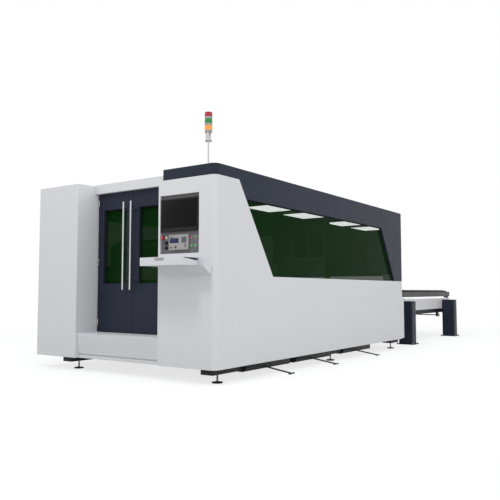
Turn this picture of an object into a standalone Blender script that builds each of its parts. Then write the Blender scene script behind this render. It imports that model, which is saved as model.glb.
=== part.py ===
"""Enclosed sheet metal laser cutting machine with a two-level pallet exchange table.

Metres, +Z up. The origin is on the floor at the middle of the footprint, -Y is the door end, and
the exchange table stands at +Y. Distances named ..._AT run back from the front face of the body,
and distances named ..._IN run in from its right-hand face.
"""

import math

import bmesh
import bpy
from mathutils import Matrix, Vector

# Clearances
SEAT = 0.0003
OVERRUN = 0.02
ROUND_SIDES = 16
SHARP_DEG = 35

# Overall sizes
BODY_WIDTH = 2.92
BODY_LENGTH = 5.20
BODY_TOP = 2.30
BODY_FLOOR = 0.154
PULL_REACH = 0.35
SHELF_DEPTH = 0.27
TABLE_REACH = 4.04
SHEET = 0.04

# Front end
POD_WIDTH = 0.80
POD_DEPTH = 0.40
POD_TOP = 2.18
POD_CORNER = 0.07
CABINET_WIDTH = 0.76
CABINET_TOP = 2.29
CABINET_CORNER = 0.03
LEAF_SETBACK = 0.003
LEAF_FROM_EDGE = 0.05
LEAF_SEAM = 0.004
BAY_DEPTH = 0.012
BAY_FROM_EDGE = 0.04
LOUVRE_HEIGHT = 0.32
CATCH_WIDTH = 0.035
CATCH_HEIGHT = 0.17
DOOR_BACK = 0.10
DOOR_THICK = 0.045
DOOR_BOTTOM = 0.455
DOOR_TOP = 2.18
LEAF_WIDTH = 0.61
LEAF_GAP = 0.003
DOOR_CLEAR = 0.004
PANE_WIDTH = 0.40
PANE_BOTTOM = 1.055
PANE_TOP = 1.975
PANE_THICK = 0.008
PANE_LAP = 0.02
BAR_LENGTH = 1.06
BAR_BOTTOM = 0.98
BAR_RADIUS = 0.013
BAR_STAND = 0.10
BAR_FROM_EDGE = 0.060
BAR_POST_RADIUS = 0.009
BAR_POST_INSET = 0.10
KNUCKLE_RADIUS = 0.012
KNUCKLE_LENGTH = 0.06
HINGE_INSET = 0.014
HINGE_FORWARD = 0.008
HINGE_PIN = 0.0075
HINGE_LUG = 0.012
HINGE_LOW = 0.585
HINGE_MIDDLE = 1.333
HINGE_HIGH = 2.075
KICK_AT = 0.02
KICK_THICK = 0.03
KICK_LEAN = 0.025
KICK_BOTTOM = 0.205
KICK_GROOVE = 0.014
SILL_THICK = 0.02
HEADER_DEPTH = 0.15
HEADER_BOTTOM = 2.184
JAMB_LEFT_IN = 0.886
NOSE_WIDTH = 0.737

# Sides and roof
SILL_LEVEL = 1.13
WING_LAND = 0.02
WING_RUN = 0.68
BAND_BOTTOM = 1.98
WINDOW_FAR_TOP = 4.34
WINDOW_FAR_FOOT = 4.86
GLASS_THICK = 0.008
GLASS_LAP = 0.03
MULLION_AT = 2.55
MULLION_WIDTH = 0.09
LAMP_LENGTH = 0.55
LAMP_WIDTH = 0.36
LAMP_THICK = 0.03
LAMP_BOTTOM = 2.00
LAMP_PITCH = 0.90
LAMP_PAIR_PITCH = 2.12
LAMP_FIRST_AT = 1.22
LAMP_IN = 0.31
LAMP_SPINE = 0.05

# Rear end
PORT_BOTTOM = 0.57
PORT_TOP = 1.25
PORT_IN = 0.325
COVER_DEPTH = 0.18
COVER_TOP = 0.82
COVER_WIDTH = 0.28

# Bed and its rails
BEAM_OUTER_IN = 0.12
BEAM_INNER_IN = 0.345
BEAM_BOTTOM = 0.25
BEAM_TOP = 1.08
BED_START = 0.66
BED_END = 5.12
BED_FRONT_GAP = 0.02
RING_TUBE = 0.10
RING_IN = 0.05
CROSS_COUNT = 5
CROSS_TUBE = 0.08
POCKET_COUNT = 6
POCKET_LENGTH = 0.44
POCKET_BOTTOM = 0.36
POCKET_TOP = 0.70
BRACKET_IN = 0.045
BRACKET_LENGTH = 0.30
BRACKET_WIDTH = 0.16
BRACKET_HEIGHT = 0.054
RAIL_WIDTH = 0.035
RAIL_HEIGHT = 0.03
TRACK_LEVEL = 0.80
TRACK_THICK = 0.012
TRACK_REACH = 0.058

# Gantry
GANTRY_AT = 1.10
GANTRY_BEAM_WIDTH = 0.24
GANTRY_BEAM_BOTTOM = 1.30
GANTRY_BEAM_TOP = 1.62
TRUCK_LENGTH = 0.46
TRUCK_WIDTH = 0.16
TRUCK_HEIGHT = 0.20
CARRIAGE_WIDTH = 0.34
CARRIAGE_THICK = 0.03
CARRIAGE_START_IN = 0.62
GUIDE_SIZE = 0.025
SLIDE_WIDTH = 0.20
SLIDE_THICK = 0.03
SLIDE_BOTTOM = 1.42
SLIDE_TOP = 1.95
HEAD_WIDTH = 0.11
HEAD_DEPTH = 0.10
HEAD_BOTTOM = 1.36
HEAD_TOP = 1.74
NOZZLE_TIP = 1.225
NOZZLE_RADIUS = 0.008
COLLAR_RADIUS = 0.035

# Scrap drawers under the bed
DRAWER_FIRST_GAP = 0.15
DRAWER_SECOND_PITCH = 1.08
DRAWER_THIRD_PITCH = 2.38
DRAWER_WIDTH = 0.93
DRAWER_IN = 0.02
DRAWER_DEPTH = 1.15
DRAWER_BOTTOM = 0.088
DRAWER_TOP = 0.148
DRAWER_WALL = 0.006
PULL_FROM_EDGE = 0.37
PULL_LEVEL = 0.110
PULL_RADIUS = 0.009
PULL_DROP = 0.055
PULL_GRIP = 0.11
RUNNER_THICK = 0.008
RUNNER_LEDGE = 0.02
RUNNER_END_IN = 1.25

# Levelling feet
FOOT_FRONT_AT = 0.20
FOOT_MIDDLE_AT = 2.765
FOOT_REAR_AT = 4.95
FOOT_FRONT_LEFT_IN = 2.32
FOOT_RADIUS = 0.038
FOOT_PAD = 0.016
STEM_RADIUS = 0.009

# Exchange table
POST_WIDTH = 0.26
POST_DEPTH = 0.22
POST_IN = 0.06
POST_TOP = 0.775
POST_CORNER = 0.03
POST_NEAR_AT = 5.83
POST_FAR_AT = 8.37
POST_PLATE = 0.012
POST_PLATE_LAP = 0.03
LIFT_IN = 0.345
LIFT_START = 5.42
LIFT_LENGTH = 3.60
LIFT_TOP = 0.81
LIFT_TIE_HEIGHT = 0.04
GUSSET_REACH = 0.45
GUSSET_SHARE = 0.8
LIFT_WEB = 0.012
LIFT_BOTTOM = 0.588
LEVEL_PITCH = 0.20
TIE_HEIGHT = 0.08
TIE_WIDTH = 0.08
TIE_AT_SHARE = (0.12, 0.5, 0.88)
LIFT_TIE_WIDTH = 0.05

# Pallets
PALLET_SIDE_IN = 0.412
PALLET_LENGTH = 3.80
PALLET_RAIL_BOTTOM = 0.845
PALLET_RAIL_TOP = 0.947
PALLET_RAIL_WIDTH = 0.05
PALLET_TOP = 0.985
SLAT_COUNT = 26
SLAT_MARGIN = 0.12
SLAT_THICK = 0.006
SLAT_FOOT = 0.86
SLAT_TEETH = 9
SLAT_TOOTH = 0.022
WHEEL_RADIUS = 0.028
WHEEL_WIDTH = 0.026
WHEEL_AXLE = 0.010
WHEEL_SHARES = (0.06, 0.94)

# Operator console
FASCIA_LEFT_IN = 0.775
FASCIA_RIGHT_IN = 0.222
FASCIA_BOTTOM = 1.367
FASCIA_TOP = 2.008
FASCIA_THICK = 0.020
RECESS_DEPTH = 0.045
SCREEN_INSET = 0.012
SCREEN_BOTTOM = 1.605
SCREEN_TOP = 1.965
SCREEN_THICK = 0.022
UNIT_FROM_LEFT = 0.125
UNIT_FROM_RIGHT = 0.148
UNIT_ABOVE = 0.038
UNIT_BELOW = 0.031
UNIT_THICK = 0.018
BUTTON_RADIUS = 0.011
BUTTON_PROUD = 0.010
BUTTON_SHANK = 0.006
STOP_RADIUS = 0.018
STOP_PROUD = 0.026
KNOB_RADIUS = 0.017
KNOB_PROUD = 0.018
CONTROL_FIT = 0.0008
BUTTON_TRAVEL = 0.004
CAP_SHARE = 0.8
STOP_FROM_LEFT = 0.030
KEY_FROM_LEFT = 0.075
BUTTON_FROM_RIGHT = 0.063
BUTTON_PITCH = 0.054
CONTROL_HIGH_SHARE = 0.752
CONTROL_MID_SHARE = 0.513
CONTROL_LOW_SHARE = 0.286
BUTTON_HIGH_SHARE = 0.710
BUTTON_LOW_SHARE = 0.336
SHELF_LEFT_IN = 0.81
SHELF_RIGHT_IN = 0.22
SHELF_BOTTOM = 1.230
SHELF_TOP = 1.318
SHELF_SHEET = 0.004
TRAY_CLEAR = 0.002
TRAY_FRONT = 0.012
TRAY_WALL_HEIGHT = 0.05
GRIP_FROM_LEFT = 0.212
GRIP_LENGTH = 0.13
GRIP_FROM_TOP = 0.007
GRIP_HEIGHT = 0.030
GRIP_DEPTH = 0.007
SLOT_MARGIN = 0.015
SLOT_DEPTH = 0.03
WEDGE_LEFT_IN = 0.68
WEDGE_RIGHT_IN = 0.05
WEDGE_REACH = 0.15
WEDGE_FOOT = 1.128

# Beacon
BEACON_IN = 0.195
BEACON_AT = 0.12
MAST_RADIUS = 0.009
MAST_TOP = 2.568
MAST_FLANGE = 0.010
MAST_FLANGE_RADIUS = 0.036
NECK_RADIUS = 0.031
NECK_TOP = 2.666
BEACON_RADIUS = 0.042
RING_RADIUS = 0.038
LENS_HEIGHT = 0.050
LENS_RING = 0.023
LENS_DOME = 0.008

# Where the side panels' slopes and the bed start
WING_TOP = POD_DEPTH + WING_LAND
WING_FOOT = WING_TOP + WING_RUN
BED_FRONT = POD_DEPTH + BED_FRONT_GAP
DRAWER_FIRST_AT = BED_FRONT + DRAWER_FIRST_GAP
DRAWER_SECOND_AT = DRAWER_FIRST_AT + DRAWER_SECOND_PITCH
DRAWER_THIRD_AT = DRAWER_FIRST_AT + DRAWER_THIRD_PITCH
DOOR_AT = POD_DEPTH - DOOR_BACK
HEADER_AT = POD_DEPTH - HEADER_DEPTH

# Where the body stands over the footprint's middle
RIGHT = (BODY_WIDTH - PULL_REACH) / 2
LEFT = RIGHT - BODY_WIDTH
MIDDLE = (RIGHT + LEFT) / 2
FRONT = (SHELF_DEPTH - BODY_LENGTH - TABLE_REACH) / 2
REAR = FRONT + BODY_LENGTH
TABLE_END = REAR + TABLE_REACH

# Finishes: colour, roughness, metallic
WHITE = ("white_enamel", (0.80, 0.80, 0.82), 0.45, 0.0)
NAVY = ("navy_enamel", (0.035, 0.045, 0.075), 0.45, 0.0)
GREEN_GLASS = ("green_laser_glass", (0.01, 0.08, 0.015), 0.08, 0.0)
BLACK = ("black_steel", (0.018, 0.018, 0.020), 0.5, 0.2)
GREY = ("grey_steel", (0.16, 0.16, 0.165), 0.5, 0.4)
BRIGHT = ("bright_steel", (0.62, 0.62, 0.63), 0.28, 1.0)
PANEL_GREY = ("console_grey", (0.20, 0.20, 0.21), 0.5, 0.1)
SCREEN_BLACK = ("screen_black", (0.010, 0.010, 0.011), 0.25, 0.0)
SILVER = ("silver_plastic", (0.42, 0.41, 0.40), 0.45, 0.0)
RED = ("red_plastic", (0.62, 0.015, 0.020), 0.35, 0.0)
LAMP_GREEN = ("green_plastic", (0.02, 0.42, 0.04), 0.35, 0.0)
AMBER = ("amber_plastic", (0.95, 0.35, 0.03), 0.35, 0.0)
LAMP_WHITE = ("lamp_diffuser", (0.92, 0.94, 0.93), 0.4, 0.0)


def clear_scene():
    for old in list(bpy.data.objects):
        bpy.data.objects.remove(old, do_unlink=True)


def material_of(finish):
    """The material of this finish, made once."""
    name, colour, roughness, metallic = finish
    found = bpy.data.materials.get(name)
    if found:
        return found
    made = bpy.data.materials.new(name)
    made.use_nodes = True
    shader = made.node_tree.nodes["Principled BSDF"]
    shader.inputs["Base Color"].default_value = (*colour, 1.0)
    shader.inputs["Roughness"].default_value = roughness
    shader.inputs["Metallic"].default_value = metallic
    return made


def block(x, y, z):
    """A box between pairs of coordinates, each pair in either order."""
    shape = bmesh.new()
    bmesh.ops.create_cube(shape, size=1.0)
    spans = [(min(pair), max(pair)) for pair in (x, y, z)]
    for vertex in shape.verts:
        for axis, (low, high) in enumerate(spans):
            vertex.co[axis] = high if vertex.co[axis] > 0 else low
    return shape


def prism(outline, axis, span):
    """An outline in the two other axes, in their order, drawn out along one axis."""
    across = [n for n in range(3) if n != axis]
    shape = bmesh.new()
    corners = []
    for point in outline:
        place = [0.0, 0.0, 0.0]
        place[across[0]], place[across[1]] = point
        place[axis] = min(span)
        corners.append(shape.verts.new(place))
    face = shape.faces.new(corners)
    drawn = bmesh.ops.extrude_face_region(shape, geom=[face])
    shift = Vector([0.0, 0.0, 0.0])
    shift[axis] = max(span) - min(span)
    moved = [item for item in drawn["geom"] if isinstance(item, bmesh.types.BMVert)]
    bmesh.ops.translate(shape, verts=moved, vec=shift)
    bmesh.ops.recalc_face_normals(shape, faces=shape.faces)
    return shape


def turned(profile, foot, direction, sides=ROUND_SIDES):
    """A turned solid: (radius, height) pairs from its foot up, both ends closed."""
    shape = bmesh.new()
    rings = []
    for radius, height in profile:
        turn = [2 * math.pi * n / sides for n in range(sides)]
        rings.append([shape.verts.new((radius * math.cos(t), radius * math.sin(t), height)) for t in turn])
    for low, high in zip(rings, rings[1:]):
        for n in range(sides):
            after = (n + 1) % sides
            shape.faces.new((low[n], low[after], high[after], high[n]))
    shape.faces.new(list(reversed(rings[0])))
    shape.faces.new(rings[-1])
    aim = Vector((0, 0, 1)).rotation_difference(Vector(direction).normalized())
    shape.transform(Matrix.Translation(foot) @ aim.to_matrix().to_4x4())
    bmesh.ops.recalc_face_normals(shape, faces=shape.faces)
    return shape


def rod(start, end, radius, sides=ROUND_SIDES):
    along = Vector(end) - Vector(start)
    return turned([(radius, 0.0), (radius, along.length)], start, along, sides)


def rounded(outline, radii, steps=4):
    """The outline with each corner of radius above zero made an arc."""
    points = []
    count = len(outline)
    for n, radius in enumerate(radii):
        corner = Vector(outline[n])
        if not radius:
            points.append(tuple(corner))
            continue
        before = (Vector(outline[n - 1]) - corner).normalized()
        after = (Vector(outline[(n + 1) % count]) - corner).normalized()
        half = before.angle(after) / 2
        centre = corner + (before + after).normalized() * (radius / math.sin(half))
        start = corner + before * (radius / math.tan(half)) - centre
        end = corner + after * (radius / math.tan(half)) - centre
        for step in range(steps + 1):
            share = step / steps
            spoke = (start * (1 - share) + end * share).normalized() * radius
            points.append(tuple(centre + spoke))
    return points


def helper_of(shapes):
    """One hidden object that holds these shapes."""
    mesh = bpy.data.meshes.new("helper")
    joined = bmesh.new()
    for shape in shapes:
        single = bpy.data.meshes.new("single")
        shape.to_mesh(single)
        shape.free()
        joined.from_mesh(single)
        bpy.data.meshes.remove(single)
    joined.to_mesh(mesh)
    joined.free()
    made = bpy.data.objects.new("helper", mesh)
    made.hide_render = True
    made.display_type = "WIRE"
    bpy.context.scene.collection.objects.link(made)
    return made


def piece(name, finish, adds, cuts=(), pivot=(0.0, 0.0, 0.0)):
    """One closed body: the first shape, joined with the others, less the cuts."""
    made = helper_of(adds[:1])
    made.name = name
    made.data.name = name
    helpers = []
    for operation, shapes in (("UNION", adds[1:]), ("DIFFERENCE", list(cuts))):
        if not shapes:
            continue
        helpers.append(helper_of(shapes))
        step = made.modifiers.new(operation.lower(), "BOOLEAN")
        step.operation = operation
        step.solver = "EXACT"
        step.use_self = len(shapes) > 1
        step.object = helpers[-1]
    if helpers:
        graph = bpy.context.evaluated_depsgraph_get()
        mesh = bpy.data.meshes.new_from_object(made.evaluated_get(graph))
        made.modifiers.clear()
        old = made.data
        made.data = mesh
        bpy.data.meshes.remove(old)
        mesh.name = name
        for helper in helpers:
            used = helper.data
            bpy.data.objects.remove(helper)
            bpy.data.meshes.remove(used)
    made.hide_render = False
    made.display_type = "TEXTURED"
    made.data.materials.clear()
    made.data.materials.append(material_of(finish))
    made.data.transform(Matrix.Translation(-Vector(pivot)))
    made.location = pivot
    made.data.shade_smooth()
    made.data.set_sharp_from_angle(angle=math.radians(SHARP_DEG))
    return made


def inward(*distances):
    """Places this far in from the right-hand face."""
    return tuple(RIGHT - distance for distance in distances)


def side_x(side, *distances):
    """Places this far in from the right-hand face (side 1) or the left-hand face (side -1)."""
    return tuple(MIDDLE + side * (BODY_WIDTH / 2 - distance) for distance in distances)


def back(*distances):
    """Places this far behind the front face."""
    return tuple(FRONT + distance for distance in distances)


def wing_at(level):
    """How far back the side panel's sloping edge stands at this level."""
    slope = (WING_FOOT - WING_TOP) / (POD_TOP - SILL_LEVEL)
    return WING_TOP + (POD_TOP - level) * slope


def behind(outline):
    """An outline's points moved from distances behind the front face to their places."""
    return [(FRONT + at, level) for at, level in outline]


def bed_side(side):
    """One welded side beam with its ring tube and pallet track, and the pockets cut from it."""
    across = side_x(side, BEAM_OUTER_IN, BEAM_INNER_IN)
    beam = block(across, back(BED_START, BED_END), (BEAM_BOTTOM, BEAM_TOP))
    ring = block(
        side_x(side, RING_IN, RING_IN + RING_TUBE),
        back(BED_FRONT, BED_END),
        (BODY_FLOOR, BODY_FLOOR + RING_TUBE),
    )
    track = block(
        side_x(side, BEAM_INNER_IN - OVERRUN, BEAM_INNER_IN + TRACK_REACH),
        back(BED_START, BED_END),
        (TRACK_LEVEL - TRACK_THICK, TRACK_LEVEL),
    )
    pockets = []
    pitch = (BED_END - BED_START) / POCKET_COUNT
    for n in range(POCKET_COUNT):
        start = BED_START + pitch * n + (pitch - POCKET_LENGTH) / 2
        pockets.append(
            block(
                side_x(side, BEAM_OUTER_IN - OVERRUN, BEAM_INNER_IN + OVERRUN),
                back(start, start + POCKET_LENGTH),
                (POCKET_BOTTOM, POCKET_TOP),
            )
        )
    return [beam, ring, track], pockets


def foot_places():
    """Each levelling foot's middle, with the name of its corner."""
    width = BRACKET_IN + BRACKET_WIDTH / 2
    for at, row in ((FOOT_FRONT_AT, "front"), (FOOT_MIDDLE_AT, "middle"), (FOOT_REAR_AT, "rear")):
        left_in = FOOT_FRONT_LEFT_IN if row == "front" else BODY_WIDTH - width
        yield f"{row}_right_foot", RIGHT - width, FRONT + at
        yield f"{row}_left_foot", RIGHT - left_in, FRONT + at


def drawer_runners():
    """The angle runners under each scrap drawer, tied by one long tube at their inner ends."""
    shapes = [
        block(
            inward(RUNNER_END_IN - RING_TUBE, RUNNER_END_IN),
            back(BED_FRONT, DRAWER_THIRD_AT + DRAWER_WIDTH + RING_TUBE),
            (BODY_FLOOR, BODY_FLOOR + RING_TUBE),
        )
    ]
    for at in (DRAWER_FIRST_AT, DRAWER_SECOND_AT, DRAWER_THIRD_AT):
        for edge, way in ((at, -1), (at + DRAWER_WIDTH, 1)):
            web = edge + way * SEAT
            along = inward(RING_IN, RUNNER_END_IN)
            shapes.append(
                block(
                    along,
                    back(web, web + way * RUNNER_THICK),
                    (DRAWER_BOTTOM - SEAT - RUNNER_THICK, BODY_FLOOR + OVERRUN),
                )
            )
            shapes.append(
                block(
                    along,
                    back(web + way * RUNNER_THICK, web - way * RUNNER_LEDGE),
                    (DRAWER_BOTTOM - SEAT - RUNNER_THICK, DRAWER_BOTTOM - SEAT),
                )
            )
    return shapes


def build_bed():
    """The welded base: side beams, ring, cross tubes, foot brackets and drawer runners."""
    adds, cuts = bed_side(1)
    more, pockets = bed_side(-1)
    adds += more
    cuts += pockets
    low = BODY_FLOOR - BRACKET_HEIGHT
    across = side_x(1, RING_IN) + side_x(-1, RING_IN)
    adds.append(block(across, back(BED_FRONT, BED_FRONT + RING_TUBE), (low, BODY_FLOOR + RING_TUBE)))
    adds.append(block(across, back(BED_END - RING_TUBE, BED_END), (BODY_FLOOR, BODY_FLOOR + RING_TUBE)))
    span = side_x(1, BEAM_INNER_IN - OVERRUN) + side_x(-1, BEAM_INNER_IN - OVERRUN)
    for n in range(CROSS_COUNT):
        share = (n + 0.5) / CROSS_COUNT
        at = BED_START + (BED_END - BED_START - CROSS_TUBE) * share
        adds.append(block(span, back(at, at + CROSS_TUBE), (BEAM_BOTTOM, BEAM_BOTTOM + CROSS_TUBE)))
    for name, x, y in foot_places():
        half = BRACKET_WIDTH / 2
        if name.startswith("front"):
            ends, top = back(KICK_AT, BED_FRONT + RING_TUBE / 2), BODY_FLOOR - SEAT
        else:
            ends, top = (y - BRACKET_LENGTH / 2, y + BRACKET_LENGTH / 2), BODY_FLOOR + OVERRUN
        adds.append(block((x - half, x + half), ends, (low, top)))
    piece("bed_frame", GREY, adds + drawer_runners(), cuts)


def build_feet():
    """Levelling feet: a domed pad and a threaded stem under each bracket."""
    top = BODY_FLOOR - BRACKET_HEIGHT - SEAT
    pad = FOOT_PAD / 2
    profile = [
        (FOOT_RADIUS, 0.0),
        (FOOT_RADIUS, pad),
        (STEM_RADIUS * 2, FOOT_PAD),
        (STEM_RADIUS, FOOT_PAD + pad),
        (STEM_RADIUS, top),
    ]
    for name, x, y in foot_places():
        piece(name, BLACK, [turned(profile, (x, y, 0.0), (0, 0, 1))])


def side_outline():
    """The side panel's outline: full height at the wing, then down its slope to the sill."""
    start = POD_DEPTH + SEAT
    outline = [
        (start, BODY_FLOOR),
        (BODY_LENGTH, BODY_FLOOR),
        (BODY_LENGTH, SILL_LEVEL),
        (WING_FOOT, SILL_LEVEL),
        (WING_TOP, POD_TOP),
        (start, POD_TOP),
    ]
    return behind(outline)


def band_outline():
    """The roof's side band: it runs over the window and down behind it."""
    outline = [
        (POD_DEPTH + SEAT, POD_TOP + SEAT),
        (wing_at(POD_TOP) + SEAT, POD_TOP + SEAT),
        (wing_at(BAND_BOTTOM) + SEAT, BAND_BOTTOM),
        (WINDOW_FAR_TOP, BAND_BOTTOM),
        (WINDOW_FAR_FOOT, SILL_LEVEL + SEAT),
        (BODY_LENGTH, SILL_LEVEL + SEAT),
        (BODY_LENGTH, BODY_TOP),
        (POD_DEPTH + SEAT, BODY_TOP),
    ]
    return behind(outline)


def build_sides():
    """Side panels and the windows behind them."""
    for side, word in ((1, "right"), (-1, "left")):
        piece(f"{word}_side_panel", WHITE, [prism(side_outline(), 0, side_x(side, 0.0, SHEET))])
        glass = side_x(side, SHEET + SEAT, SHEET + SEAT + GLASS_THICK)
        lap_start = wing_at(BAND_BOTTOM + GLASS_LAP) + GLASS_LAP
        outline = [
            (wing_at(SILL_LEVEL) - GLASS_LAP, SILL_LEVEL - GLASS_LAP),
            (WINDOW_FAR_FOOT + GLASS_LAP, SILL_LEVEL - GLASS_LAP),
            (WINDOW_FAR_FOOT + GLASS_LAP, SILL_LEVEL + GLASS_LAP),
            (WINDOW_FAR_TOP + GLASS_LAP, BAND_BOTTOM + GLASS_LAP),
            (lap_start - 2 * GLASS_LAP, BAND_BOTTOM + GLASS_LAP),
        ]
        piece(f"{word}_window", GREEN_GLASS, [prism(behind(outline), 0, glass)])


def build_roof():
    """The dark roof: top sheet, side bands, mullions and the nose over the operator's pod."""
    across = side_x(1, 0.0) + side_x(-1, 0.0)
    top = block(across, back(POD_DEPTH + SEAT, BODY_LENGTH), (BODY_TOP - SHEET, BODY_TOP))
    nose_outline = [
        (RIGHT - NOSE_WIDTH, FRONT),
        (RIGHT, FRONT),
        (RIGHT, FRONT + WING_TOP),
        (RIGHT - NOSE_WIDTH, FRONT + WING_TOP),
    ]
    nose = prism(rounded(nose_outline, (0.0, POD_CORNER, 0.0, 0.0)), 2, (POD_TOP + SEAT, BODY_TOP))
    adds = [top, nose]
    inner = SHEET + GLASS_THICK + 2 * SEAT
    for side in (1, -1):
        adds.append(prism(band_outline(), 0, side_x(side, 0.0, SHEET)))
        adds.append(
            block(
                side_x(side, inner, inner + SHEET),
                back(MULLION_AT, MULLION_AT + MULLION_WIDTH),
                (SILL_LEVEL - GLASS_LAP, BODY_TOP - SHEET / 2),
            )
        )
    piece("roof_hood", NAVY, adds)


def build_lamps():
    """Two pairs of work lamps that hang from the roof on one spine."""
    middle = RIGHT - LAMP_IN
    end = LAMP_FIRST_AT + LAMP_PAIR_PITCH + LAMP_PITCH + LAMP_LENGTH
    top = LAMP_BOTTOM + LAMP_THICK
    half = LAMP_SPINE / 2
    spine = (middle - half, middle + half)
    adds = [block(spine, back(LAMP_FIRST_AT, end), (top - LAMP_THICK / 2, BODY_TOP - SHEET - SEAT))]
    half = LAMP_WIDTH / 2
    for pair in (0.0, LAMP_PAIR_PITCH):
        for shift in (0.0, LAMP_PITCH):
            at = LAMP_FIRST_AT + pair + shift
            adds.append(block((middle - half, middle + half), back(at, at + LAMP_LENGTH), (LAMP_BOTTOM, top)))
    piece("work_lamps", LAMP_WHITE, adds)


def build_rear():
    """The rear wall with its pallet port, and the lift covers beside the port."""
    inner = SHEET + SEAT
    wall = block(
        side_x(1, inner) + side_x(-1, inner),
        back(BODY_LENGTH - SHEET, BODY_LENGTH),
        (BODY_FLOOR, BODY_TOP - SHEET - SEAT),
    )
    port = block(
        side_x(1, PORT_IN) + side_x(-1, PORT_IN),
        back(BODY_LENGTH - SHEET - OVERRUN, BODY_LENGTH + OVERRUN),
        (PORT_BOTTOM, PORT_TOP),
    )
    covers = []
    for side in (1, -1):
        covers.append(
            block(
                side_x(side, inner, inner + COVER_WIDTH),
                back(BODY_LENGTH - SHEET / 2, BODY_LENGTH + COVER_DEPTH),
                (BODY_FLOOR, COVER_TOP),
            )
        )
    piece("rear_wall", WHITE, [wall] + covers, [port])


def build_pod():
    """The operator's pod, with its rounded corner and the recess for the console."""
    left, right = inward(POD_WIDTH, 0.0)
    plan = [(left, FRONT), (right, FRONT), (right, FRONT + POD_DEPTH), (left, FRONT + POD_DEPTH)]
    body = prism(rounded(plan, (0.0, POD_CORNER, 0.0, 0.0), 6), 2, (BODY_FLOOR, POD_TOP))
    recess = block(
        inward(FASCIA_LEFT_IN, FASCIA_RIGHT_IN),
        back(-OVERRUN, RECESS_DEPTH),
        (FASCIA_BOTTOM, FASCIA_TOP),
    )
    piece("operator_pod", WHITE, [body], [recess])


def lug(x, level, wall):
    """A hinge lug that carries a knuckle: an arm out of the wall and a pin head on the axis."""
    y = FRONT + DOOR_AT - HINGE_FORWARD
    top = level - KNUCKLE_LENGTH / 2 - SEAT
    head = rod((x, y, top - HINGE_LUG), (x, y, top), HINGE_PIN, 8)
    arm = block((wall, x), (y - HINGE_PIN, y), (top - HINGE_LUG, top))
    return [head, arm]


def hinge_x(side):
    """The hinge axis: side -1 is the left leaf, side 1 the right leaf."""
    edge = RIGHT - JAMB_LEFT_IN - DOOR_CLEAR
    if side < 0:
        edge -= 2 * LEAF_WIDTH + LEAF_GAP
        return edge + HINGE_INSET
    return edge - HINGE_INSET


def cabinet_leaf():
    """What is cut for the service leaf in the cabinet's outer side: setback, seam and bays."""
    left = RIGHT - BODY_WIDTH
    start, end = back(LEAF_FROM_EDGE, POD_DEPTH - LEAF_FROM_EDGE)
    low, high = BODY_FLOOR + LEAF_FROM_EDGE, CABINET_TOP - LEAF_FROM_EDGE
    deep = (left - OVERRUN, left + BAY_DEPTH)
    middle = (low + high) / 2
    near, far = start + BAY_FROM_EDGE, end - BAY_FROM_EDGE
    foot, top = low + BAY_FROM_EDGE, high - BAY_FROM_EDGE
    return [
        block((left - OVERRUN, left + LEAF_SETBACK), (start, end), (low, high)),
        block(deep, (start, start + LEAF_SEAM), (low, high)),
        block(deep, (end - LEAF_SEAM, end), (low, high)),
        block(deep, (start, end), (low, low + LEAF_SEAM)),
        block(deep, (start, end), (high - LEAF_SEAM, high)),
        block(deep, (near, far), (foot, foot + LOUVRE_HEIGHT)),
        block(deep, (near, far), (top - LOUVRE_HEIGHT, top)),
        block(deep, (near, near + CATCH_WIDTH), (middle, middle + CATCH_HEIGHT)),
    ]


def build_cabinet():
    """The electrical cabinet, with its splayed inner wall and the left leaf's hinge lugs."""
    left, right = inward(BODY_WIDTH, BODY_WIDTH - CABINET_WIDTH)
    wall = hinge_x(-1) - HINGE_INSET - DOOR_CLEAR
    plan = [
        (left, FRONT),
        (right, FRONT),
        (wall, FRONT + DOOR_AT - 2 * HINGE_LUG),
        (wall, FRONT + POD_DEPTH),
        (left, FRONT + POD_DEPTH),
    ]
    radii = (CABINET_CORNER, CABINET_CORNER / 3, 0.0, 0.0, 0.0)
    adds = [prism(rounded(plan, radii), 2, (BODY_FLOOR, CABINET_TOP))]
    for level in (HINGE_LOW, HINGE_MIDDLE, HINGE_HIGH):
        adds += lug(hinge_x(-1), level, wall - OVERRUN)
    piece("left_cabinet", WHITE, adds, cabinet_leaf())


def build_door_frame():
    """The header over the doors and the right-hand jamb, with the right leaf's hinge lugs."""
    wall = hinge_x(-1) - HINGE_INSET - DOOR_CLEAR
    right = RIGHT - POD_WIDTH - SEAT
    jamb = RIGHT - JAMB_LEFT_IN
    header = block((wall + SEAT, right), back(HEADER_AT, POD_DEPTH), (HEADER_BOTTOM, BODY_TOP))
    post = block((jamb, right), back(HEADER_AT, POD_DEPTH), (DOOR_BOTTOM + SEAT, HEADER_BOTTOM + OVERRUN))
    adds = [header, post]
    for level in (HINGE_LOW, HINGE_MIDDLE, HINGE_HIGH):
        adds += lug(hinge_x(1), level, jamb + OVERRUN)
    piece("door_frame", WHITE, adds)


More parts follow.
